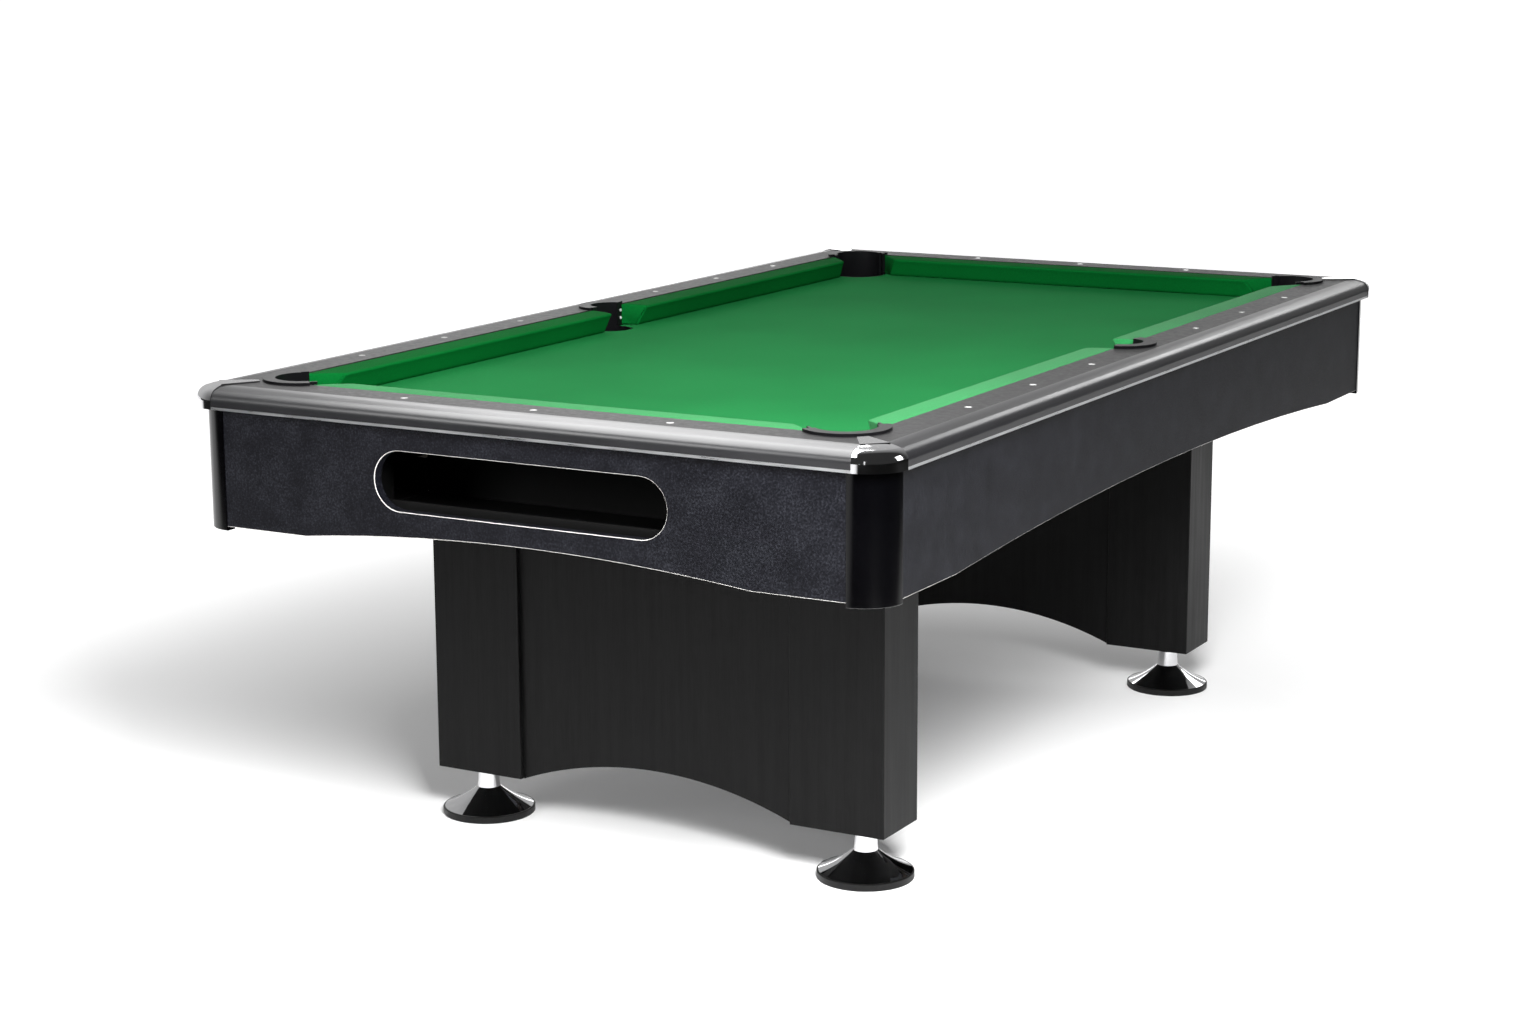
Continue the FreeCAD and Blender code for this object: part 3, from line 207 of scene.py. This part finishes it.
def laminate_material(name, dark, light, roughness, grain, bump):
    """Printed laminate with a fine grain; grain gives how the noise is stretched along each axis."""
    shader = Shader(name, light, roughness, Specular_IOR_Level=0.12)
    lines = shader.noise(0.012, 6.0, 0.65, shader.stretched(grain))
    pores = shader.noise(0.0012, 2.0, 0.5, shader.stretched(grain))
    shade = shader.maths("ADD", shader.maths("MULTIPLY", lines, 0.65), shader.maths("MULTIPLY", pores, 0.35))
    shader.colours(shade, (0.36, dark), (0.62, light))
    shader.rough(lines, roughness - 0.05, roughness + 0.08)
    shader.bump(pores, bump, 0.5)
    return shader.material


def leathergrain_material():
    """Black board faced with a pebbled foil: small raised cells with fine creases between them."""
    shader = Shader("apron_leathergrain", (0.02, 0.021, 0.026), 0.5, Specular_IOR_Level=0.1)
    pebbles = shader.creases(0.0022)
    speckle = shader.noise(0.0035, 5.0, 0.75)
    patch = shader.noise(0.05, 3.0, 0.6)
    shade = shader.maths("ADD", shader.maths("MULTIPLY", speckle, 0.8), shader.maths("MULTIPLY", patch, 0.2))
    crease, face, fleck = (0.0018, 0.0019, 0.0027), (0.0045, 0.0047, 0.0065), (0.018, 0.0188, 0.0234)
    shader.colours(shade, (0.38, crease), (0.5, face), (0.64, fleck))
    shader.rough(speckle, 0.4, 0.62)
    shader.bump(pebbles, 0.0003, 0.5)
    shader.bump(speckle, 0.0004, 0.4)
    return shader.material


def plastic_material(name, colour, roughness, specular=0.5, bump=0.00002):
    """Moulded black plastic with a very fine satin grain."""
    shader = Shader(name, colour, roughness, Specular_IOR_Level=specular)
    flow = shader.noise(0.12, 3.0, 0.5)
    grain = shader.noise(0.0009, 2.0, 0.5)
    lighter = tuple(1.35 * part for part in colour)
    shader.colours(flow, (0.35, colour), (0.7, lighter))
    shader.rough(flow, roughness - 0.02, roughness + 0.03)
    shader.bump(grain, bump, 0.3)
    return shader.material


def edge_band_and_highlight_material():
    """The thin raw-looking strip that closes the edge of an apron board, kept pale also as a painted
    highlight where the rounded rim catches light.
    """
    # Pale colour: partly a raw edge, partly a painted highlight on the rounded rim
    shader = Shader("apron_edge_band_and_highlight", (0.5, 0.48, 0.46), 0.4)
    speckle = shader.noise(0.003, 3.0, 0.6)
    shader.colours(speckle, (0.35, (0.42, 0.41, 0.39)), (0.65, (0.58, 0.56, 0.54)))
    shader.rough(speckle, 0.34, 0.5)
    return shader.material


def chrome_material(name, roughness=0.05, bright=0.9):
    dull = 0.9 * bright
    shader = Shader(name, (bright, bright, bright), roughness, Metallic=1.0)
    haze = shader.noise(0.03, 5.0, 0.65)
    shader.colours(haze, (0.3, (dull, dull, 1.02 * dull)), (0.7, (bright, bright, 1.01 * bright)))
    shader.rough(haze, roughness, roughness + 0.05)
    shader.bump(haze, 0.00004, 0.25)
    return shader.material


def brushed_material(name, colour, roughness, grain, metallic=1.0):
    shader = Shader(name, colour, roughness, Metallic=metallic)
    lines = shader.noise(0.004, 5.0, 0.7, shader.stretched(grain))
    darker = tuple(0.8 * part for part in colour)
    shader.colours(lines, (0.3, darker), (0.7, colour))
    shader.rough(lines, roughness - 0.06, roughness + 0.1)
    shader.bump(lines, 0.00003, 0.4)
    return shader.material


def rubber_material():
    shader = Shader("foot_rubber", (0.004, 0.004, 0.004), 0.42, Specular_IOR_Level=0.25)
    dust = shader.noise(0.006, 6.0, 0.7)
    shader.colours(dust, (0.4, (0.003, 0.003, 0.003)), (0.75, (0.01, 0.01, 0.01)))
    shader.rough(dust, 0.34, 0.6)
    shader.bump(dust, 0.0001, 0.4)
    return shader.material


def pearl_material():
    shader = Shader("sight_pearl", (0.86, 0.86, 0.84), 0.18, Coat_Weight=0.5, Coat_Roughness=0.05)
    swirl = shader.noise(0.004, 4.0, 0.6, distortion=1.5)
    shader.colours(swirl, (0.3, (0.74, 0.75, 0.76)), (0.7, (0.93, 0.92, 0.89)))
    shader.rough(swirl, 0.12, 0.26)
    return shader.material


def slate_material():
    shader = Shader("slate_stone", (0.16, 0.17, 0.19), 0.7)
    layers = shader.noise(0.03, 7.0, 0.7, shader.stretched((1.0, 1.0, 9.0)))
    shader.colours(layers, (0.3, (0.09, 0.095, 0.11)), (0.7, (0.22, 0.23, 0.25)))
    shader.rough(layers, 0.6, 0.85)
    shader.bump(layers, 0.0008, 0.5)
    return shader.material


def timber_material():
    """Softwood coloured near black: painted shade, as the inside of the cabinet lies in shade and reads
    black.
    """
    shader = Shader("frame_timber_painted_shade", (0.03, 0.024, 0.02), 0.62, Specular_IOR_Level=0.2)
    rings = shader.noise(0.02, 6.0, 0.65, shader.stretched((0.5, 0.08, 1.0)), distortion=0.6)
    # Near-black ring colours: painted shade over what is pale softwood
    shader.colours(
        rings, (0.3, (0.012, 0.01, 0.009)), (0.55, (0.03, 0.024, 0.02)), (0.75, (0.05, 0.04, 0.032))
    )
    shader.rough(rings, 0.55, 0.75)
    shader.bump(rings, 0.0004, 0.5)
    return shader.material


# Linear RGB colours
BED_GREEN = (0.012, 0.17, 0.044)
# Lighter than the bed cloth, though it is the same cloth: painted light on the right and front cushions
LIT_CUSHION_GREEN = (0.026, 0.21, 0.064)
# Darker copy of the cushion cloth: painted shade for the left and rear cushions
SHADED_GREEN = (0.0015, 0.088, 0.015)
RAIL_DARK = (0.009, 0.009, 0.0095)
RAIL_LIGHT = (0.018, 0.0175, 0.018)
PEDESTAL_DARK = (0.0018, 0.0018, 0.0018)
PEDESTAL_LIGHT = (0.0055, 0.0055, 0.0056)
EVEN_GRAIN = (1.0, 1.0, 1.0)
LEG_GRAIN = (1.0, 1.0, 0.04)


def make_materials():
    """Every material, by the record's slot that it finishes."""
    return {
        "bed_cloth": cloth_material("bed_cloth", BED_GREEN, 0.0),
        "cushion_cloth": cloth_material("cushion_cloth", LIT_CUSHION_GREEN, 0.05),
        "shaded_cloth": cloth_material("cushion_cloth_painted_shade", SHADED_GREEN, 0.0),
        "rail_laminate": laminate_material(
            "rail_laminate", RAIL_DARK, RAIL_LIGHT, roughness=0.4, grain=EVEN_GRAIN, bump=0.00003
        ),
        "bullnose": plastic_material("bullnose_satin", (0.005, 0.005, 0.006), 0.3, 1.0, 0.000003),
        "trim": brushed_material("trim_aluminium", (0.88, 0.89, 0.9), 0.3, (0.05, 0.05, 1.0)),
        "cap_chrome": chrome_material("cap_chrome"),
        "apron_laminate": leathergrain_material(),
        "post": plastic_material("post_satin", (0.0005, 0.0005, 0.0007), 0.14, 0.32),
        "pedestal_laminate": laminate_material(
            "pedestal_laminate", PEDESTAL_DARK, PEDESTAL_LIGHT, roughness=0.42, grain=LEG_GRAIN, bump=0.0001
        ),
        "foot_chrome": chrome_material("foot_chrome", 0.04, 0.72),
        "foot_rubber": rubber_material(),
        "steel": brushed_material("zinc_steel", (0.55, 0.55, 0.56), 0.38, (1.0, 1.0, 0.1)),
        "pocket": plastic_material("pocket_moulding", (0.003, 0.003, 0.0035), 0.4, 0.15),
        # Pale nickel, only partly metallic so the screws read as bright dots: partly painted glint
        "screw": brushed_material("screw_nickel_painted_glint", (0.8, 0.8, 0.82), 0.3, EVEN_GRAIN, metallic=0.4),
        "sight": pearl_material(),
        "slate": slate_material(),
        "timber": timber_material(),
        "ball_return": plastic_material("ball_return_black", (0.002, 0.002, 0.002), 0.5, 0.2),
    }


def dress_nodes(materials):
    """Gives each CAD node the material of its slot in the record."""
    for part in frame["record"]["subparts"]:
        mesh = NODES[part["node"]].data
        mesh.materials.clear()
        mesh.materials.append(materials[part["material_slot"]])


def band_apron_edges_and_highlights(material):
    """Gives the rounded rims of the apron boards the edge band with its painted highlight, by how far each
    face turns from flat.
    """
    square_to_board, flat_on_board = 0.1, 0.99
    thickness_axis = {"apron_front": 1, "apron_rear": 1, "apron_left": 0, "apron_right": 0}
    for name, axis in thickness_axis.items():
        mesh = NODES[name].data
        mesh.materials.append(material)
        for polygon in mesh.polygons:
            if square_to_board < abs(polygon.normal[axis]) < flat_on_board:
                polygon.material_index = 1


# ---------------------------------------------------------------- mesh helpers


def add_piece(name, mesh, material, node):
    """Links a finished mesh as a piece that rides on the table and stands for one CAD node."""
    for polygon in mesh.polygons:
        polygon.use_smooth = True
    mesh.materials.append(material)
    piece = bpy.data.objects.new(name, mesh)
    bpy.context.scene.collection.objects.link(piece)
    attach(piece, "table")
    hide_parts(node)
    return piece


def mesh_from(name, points, faces):
    mesh = bpy.data.meshes.new(name)
    mesh.from_pydata(points, [], faces)
    mesh.update()
    return mesh


# ---------------------------------------------------------------- cushions

EDGE_ROUND = 3.0 * MM
CORNER_CUT = 83.0 * MM
SIDE_CUT = 65.0 * MM
CORNER_SLOPE = 1.0
SIDE_SLOPE = 12.0 / 55.0
MIDDLE_STEPS = 40
# The cloth-covered section in mm: distance behind the nose, and height above the bed cloth's top
SECTION = [
    (55.0, 0.8), (38.0, 0.8), (21.0, 0.8), (19.2, 1.6), (16.0, 7.5), (11.0, 17.5), (6.0, 27.0), (2.0, 33.4),
    (0.5, 35.2), (0.0, 36.6), (0.5, 38.2), (1.8, 39.4), (4.0, 40.0), (10.0, 40.5), (20.0, 41.0), (32.0, 41.3),
    (44.0, 41.4), (50.0, 41.2), (53.2, 40.4), (54.4, 38.6), (55.0, 35.0), (55.0, 18.0),
]


def inward(section):
    """Unit vectors that point into a clockwise outline at each of its points."""
    count = len(section)
    vectors = []
    for number in range(count):
        before = Vector(section[number - 1])
        after = Vector(section[(number + 1) % count])
        along = (after - before).normalized()
        vectors.append(Vector((along.y, -along.x)))
    return vectors


def tube_faces(around, stations):
    """Faces that join rings of points into a closed tube with flat ends."""
    faces = []
    for station in range(stations - 1):
        for number in range(around):
            here = station * around + number
            over = station * around + (number + 1) % around
            faces.append((here, over, over + around, here + around))
    last = (stations - 1) * around
    faces.append(tuple(reversed(range(around))))
    faces.append(tuple(range(last, last + around)))
    return faces


def face_outwards(mesh):
    solid = bmesh.new()
    solid.from_mesh(mesh)
    bmesh.ops.recalc_face_normals(solid, faces=solid.faces)
    solid.to_mesh(mesh)
    solid.free()


def cushion_mesh(name, start, end, start_slope, end_slope):
    """A cushion along its own X axis. start and end are where its nose ends, and the slopes are how much
    further its back reaches for each metre behind the nose."""
    section = [(back * MM, rise * MM) for back, rise in SECTION]
    inwards = inward(section)
    length = end - start
    ends = [0.0, 0.0003, 0.0009, 0.0018, EDGE_ROUND, 0.006]
    middle = [number / MIDDLE_STEPS for number in range(1, MIDDLE_STEPS)]
    stations = [d / length for d in ends] + middle + [1.0 - d / length for d in reversed(ends)]
    points = []
    for share in stations:
        depth = min(share, 1.0 - share) * length
        inset = 0.0
        if depth < EDGE_ROUND:
            inset = EDGE_ROUND - math.sqrt(EDGE_ROUND ** 2 - (EDGE_ROUND - depth) ** 2)
        for (back, rise), way in zip(section, inwards):
            back_in = back + way.x * inset
            low = start - start_slope * back_in
            high = end + end_slope * back_in
            points.append((low + (high - low) * share, back_in, rise + way.y * inset))
    mesh = mesh_from(name, points, tube_faces(len(section), len(stations)))
    face_outwards(mesh)
    return mesh


def add_cushion(name, mesh, turn, nose, material):
    """Turns a cushion to its side of the table, with its nose line that far from the centre."""
    mesh.transform(
        Matrix.Translation((0.0, 0.0, CLOTH_HIGH))
        @ Matrix.Rotation(turn, 4, "Z")
        @ Matrix.Translation((0.0, nose, 0.0))
    )
    cushion = add_piece(f"{name}_cushion", mesh, material, f"cushion_{name}")


def make_cushions(towards_light, against_light):
    """Six cushions. The left and rear ones get a darker copy of the cloth, painted shade for their side away
    from the light; the right and front ones a lighter copy, painted light.
    """
    half = NOSE_X - CORNER_CUT
    for name, turn, material in (("rear", 0.0, against_light), ("front", math.pi, towards_light)):
        mesh = cushion_mesh(f"{name}_cushion", -half, half, CORNER_SLOPE, CORNER_SLOPE)
        add_cushion(name, mesh, turn, NOSE_Y, material)
    far = NOSE_Y - CORNER_CUT
    for side, x_side, material in (("left", -1, against_light), ("right", 1, towards_light)):
        for end, y_side in (("front", -1), ("rear", 1)):
            name = f"{side}_{end}"
            if x_side * y_side < 0:
                mesh = cushion_mesh(f"{name}_cushion", SIDE_CUT, far, SIDE_SLOPE, CORNER_SLOPE)
            else:
                mesh = cushion_mesh(f"{name}_cushion", -far, -SIDE_CUT, CORNER_SLOPE, SIDE_SLOPE)
            add_cushion(name, mesh, -x_side * math.pi / 2, NOSE_X, material)


# ---------------------------------------------------------------- bed cloth

CLOTH_STEP = 9.5 * MM
CORNER_HOLE = 59.0 * MM
CORNER_HOLE_OUT = 13.0 * MM
SIDE_HOLE = 43.0 * MM
SIDE_HOLE_OUT = 45.0 * MM
EDGE_GAP = 0.5 * MM
HOLE_MARGIN = 2.0 * MM
# Rings of the rolled edge, in mm: distance outside the hole's radius, and drop below the sheet
ROLLED_EDGE = ((1.0, 0.25), (0.3, 0.9), (0.0, 2.2), (0.0, 9.0))


def pocket_holes():
    """The centre and radius of the hole in the cloth at each pocket."""
    corner_x = NOSE_X + CORNER_HOLE_OUT
    corner_y = NOSE_Y + CORNER_HOLE_OUT
    side_x = NOSE_X + SIDE_HOLE_OUT
    corners = [(Vector((x * corner_x, y * corner_y)), CORNER_HOLE) for x in (-1, 1) for y in (-1, 1)]
    return corners + [(Vector((x * side_x, 0.0)), SIDE_HOLE) for x in (-1, 1)]


def flat_sheet():
    """An even grid that covers the slate out to the cushions' backs."""
    sheet = bmesh.new()
    columns = round(2 * BACK_X / CLOTH_STEP)
    rows = round(2 * BACK_Y / CLOTH_STEP)
    bmesh.ops.create_grid(sheet, x_segments=columns, y_segments=rows, size=0.5)
    for vertex in sheet.verts:
        vertex.co.x *= 2 * (BACK_X - EDGE_GAP)
        vertex.co.y *= 2 * (BACK_Y - EDGE_GAP)
        vertex.co.z = CLOTH_HIGH
    return sheet


def cut_holes(sheet, holes):
    """Takes out the points inside the pockets and draws the ragged edges onto clean circles."""
    reach = 0.35 * CLOTH_STEP
    inside = [v for v in sheet.verts if any((v.co.xy - c).length < r - reach for c, r in holes)]
    bmesh.ops.delete(sheet, geom=inside, context="VERTS")
    for vertex in sheet.verts:
        for centre, radius in holes:
            out = vertex.co.xy - centre
            if vertex.is_boundary and out.length < radius + 1.6 * CLOTH_STEP:
                vertex.co.xy = centre + out.normalized() * (radius + HOLE_MARGIN)


def near_hole(edge, holes):
    middle = (edge.verts[0].co.xy + edge.verts[1].co.xy) / 2
    return any((middle - centre).length < radius + 1.75 * HOLE_MARGIN for centre, radius in holes)


def roll_edges(sheet, holes):
    """Rolls the cloth over the slate's edge into each pocket, ring by ring."""
    for spread, drop in ROLLED_EDGE:
        rim = [edge for edge in sheet.edges if edge.is_boundary and near_hole(edge, holes)]
        grown = bmesh.ops.extrude_edge_only(sheet, edges=rim)
        for vertex in (item for item in grown["geom"] if isinstance(item, bmesh.types.BMVert)):
            centre, radius = min(holes, key=lambda hole: (vertex.co.xy - hole[0]).length)
            vertex.co.xy = centre + (vertex.co.xy - centre).normalized() * (radius + spread * MM)
            vertex.co.z = CLOTH_HIGH - drop * MM


def make_bed_cloth(material):
    """A flat stretched sheet whose edge rolls over the slate into each pocket."""
    holes = pocket_holes()
    sheet = flat_sheet()
    cut_holes(sheet, holes)
    roll_edges(sheet, holes)
    bmesh.ops.recalc_face_normals(sheet, faces=sheet.faces)
    mesh = bpy.data.meshes.new("bed_cloth_sheet")
    sheet.to_mesh(mesh)
    sheet.free()
    piece = add_piece("bed_cloth_sheet", mesh, material, "bed_cloth")


# ---------------------------------------------------------------- stage


def area_light(name, place, target, size, power, diffuse=True, glossy=True):
    """A soft rectangle. It is not mirrored when glossy is off, and only mirrored when diffuse is off."""
    data = bpy.data.lights.new(name, "AREA")
    data.shape = "RECTANGLE"
    data.size, data.size_y = size
    data.energy = power
    light = bpy.data.objects.new(name, data)
    light.location = place
    light.rotation_euler = (Vector(target) - Vector(place)).to_track_quat("-Z", "Y").to_euler()
    light.visible_diffuse = diffuse
    light.visible_glossy = glossy
    bpy.context.scene.collection.objects.link(light)


TOWARDS_BRIGHT_WALL = (-0.75, 0.66, 0.0)
DARK_WALL = 0.03
BRIGHT_WALL = 0.5


def make_world():
    """A studio that mirrors bright behind the table on the left and dark on the camera's side. The camera
    itself sees it pale everywhere."""
    world = bpy.data.worlds.new("studio")
    world.use_nodes = True
    tree = world.node_tree
    place = tree.nodes.new("ShaderNodeTexCoord").outputs["Generated"]
    towards = tree.nodes.new("ShaderNodeVectorMath")
    towards.operation = "DOT_PRODUCT"
    towards.inputs[1].default_value = TOWARDS_BRIGHT_WALL
    tree.links.new(place, towards.inputs[0])
    mirrored = tree.nodes.new("ShaderNodeMapRange")
    mirrored.inputs["From Min"].default_value = 0.0
    mirrored.inputs["From Max"].default_value = 0.8
    mirrored.inputs["To Min"].default_value = DARK_WALL
    mirrored.inputs["To Max"].default_value = BRIGHT_WALL
    tree.links.new(towards.outputs["Value"], mirrored.inputs["Value"])
    strength = tree.nodes.new("ShaderNodeMath")
    strength.operation = "MAXIMUM"
    to_camera = tree.nodes.new("ShaderNodeLightPath").outputs["Is Camera Ray"]
    tree.links.new(mirrored.outputs["Result"], strength.inputs[0])
    tree.links.new(to_camera, strength.inputs[1])
    background = tree.nodes["Background"]
    background.inputs["Color"].default_value = (1.0, 1.0, 1.0, 1.0)
    tree.links.new(strength.outputs["Value"], background.inputs["Strength"])
    bpy.context.scene.world = world


PAPER = (0.86, 0.86, 0.86)
DARK_FLOOR = (0.02, 0.02, 0.02)
# Where the mirrored floor turns from dark to pale, in metres: in front, at each side of the pale strip,
# and on the right
DARK_BEFORE = (-2.9, -2.0)
STRIP_LEFT = (-1.1, -0.7)
STRIP_RIGHT = (-0.4, 0.1)
DARK_RIGHT = (1.7, 2.8)
# The floor's own glow and the distances from the centre over which it grows
GLOW = (0.1, 0.9)
GLOW_REACH = (0.9, 2.4)


def floor_material():
    """Pale seamless paper that glows away from the table. The camera sees it pale everywhere, while the
    black faces mirror a dark studio in front and on the right, with one pale strip."""
    shader = Shader("floor", PAPER, 0.75, Specular_IOR_Level=0.1)
    split = shader.tree.nodes.new("ShaderNodeSeparateXYZ")
    shader.link(shader.place, split.inputs["Vector"])
    behind = shader.between(split.outputs["Y"], 0.0, 1.0, *DARK_BEFORE)
    right_of_left = shader.between(split.outputs["X"], 0.0, 1.0, *STRIP_LEFT)
    left_of_right = shader.between(split.outputs["X"], 1.0, 0.0, *STRIP_RIGHT)
    strip = shader.maths("MULTIPLY", right_of_left, left_of_right)
    left = shader.between(split.outputs["X"], 1.0, 0.0, *DARK_RIGHT)
    pale = shader.maths("MULTIPLY", shader.maths("MAXIMUM", behind, strip), left)
    to_camera = shader.tree.nodes.new("ShaderNodeLightPath").outputs["Is Camera Ray"]
    pale = shader.maths("MAXIMUM", pale, to_camera)
    shader.colours(pale, (0.0, DARK_FLOOR), (1.0, PAPER))
    distance = shader.tree.nodes.new("ShaderNodeVectorMath")
    distance.operation = "LENGTH"
    shader.link(shader.place, distance.inputs[0])
    glow = shader.between(distance.outputs["Value"], *GLOW, *GLOW_REACH)
    shader.surface.inputs["Emission Color"].default_value = (1.0, 1.0, 1.0, 1.0)
    shader.link(shader.maths("MULTIPLY", glow, pale), shader.surface.inputs["Emission Strength"])
    return shader.material


def make_floor():
    """A floor so wide that its edge is never seen."""
    reach = 60.0
    corners = [(-reach, -reach, 0.0), (reach, -reach, 0.0), (reach, reach, 0.0), (-reach, reach, 0.0)]
    mesh = mesh_from("floor", corners, [(0, 1, 2, 3)])
    mesh.materials.append(floor_material())
    floor = bpy.data.objects.new("floor", mesh)
    bpy.context.scene.collection.objects.link(floor)


def make_lights():
    """The key lights the cloth. The cards give the bullnoses, caps and feet something to mirror."""
    area_light("key", (1.7, -2.4, 2.1), (0.3, -0.9, 0.8), (1.0, 1.0), 255.0, glossy=False)
    area_light("card_overhead", (-1.0, -0.6, 2.9), (-1.0, -0.6, 0.8), (1.8, 2.8), 120.0, diffuse=False)
    area_light("card_front", (-1.0, -2.6, 2.9), (-1.0, -2.6, 0.8), (1.8, 1.2), 46.0, diffuse=False)
    area_light("card_behind", (-4.4, 5.5, 5.0), (0.0, -1.1, 0.8), (2.8, 2.8), 90.0, diffuse=False)
    area_light("front_left", (-1.8, -4.2, 1.9), (0.3, -1.1, 0.6), (1.6, 1.2), 32.0)
    area_light("card_right", (5.0, 1.2, 2.4), (0.6, -1.1, 0.8), (2.0, 2.4), 45.0, diffuse=False)
    area_light("front_strip", (1.5, -5.4, 1.2), (0.3, -1.1, 0.7), (0.25, 1.8), 1.5)
    area_light("behind_low", (-3.0, 7.0, 1.45), (-0.4, 0.0, 0.8), (7.0, 0.5), 30.0)
    area_light("behind_high", (0.5, 7.0, 4.0), (0.4, 0.0, 0.8), (2.6, 1.6), 60.0)


def make_stage():
    make_world()
    make_lights()
    make_floor()
    bpy.context.scene.view_settings.view_transform = "Standard"


# ---------------------------------------------------------------- build


def main():
    make_camera()
    make_stage()
    materials = make_materials()
    dress_nodes(materials)
    band_apron_edges_and_highlights(edge_band_and_highlight_material())
    make_bed_cloth(materials["bed_cloth"])
    make_cushions(materials["cushion_cloth"], materials["shaded_cloth"])


main()
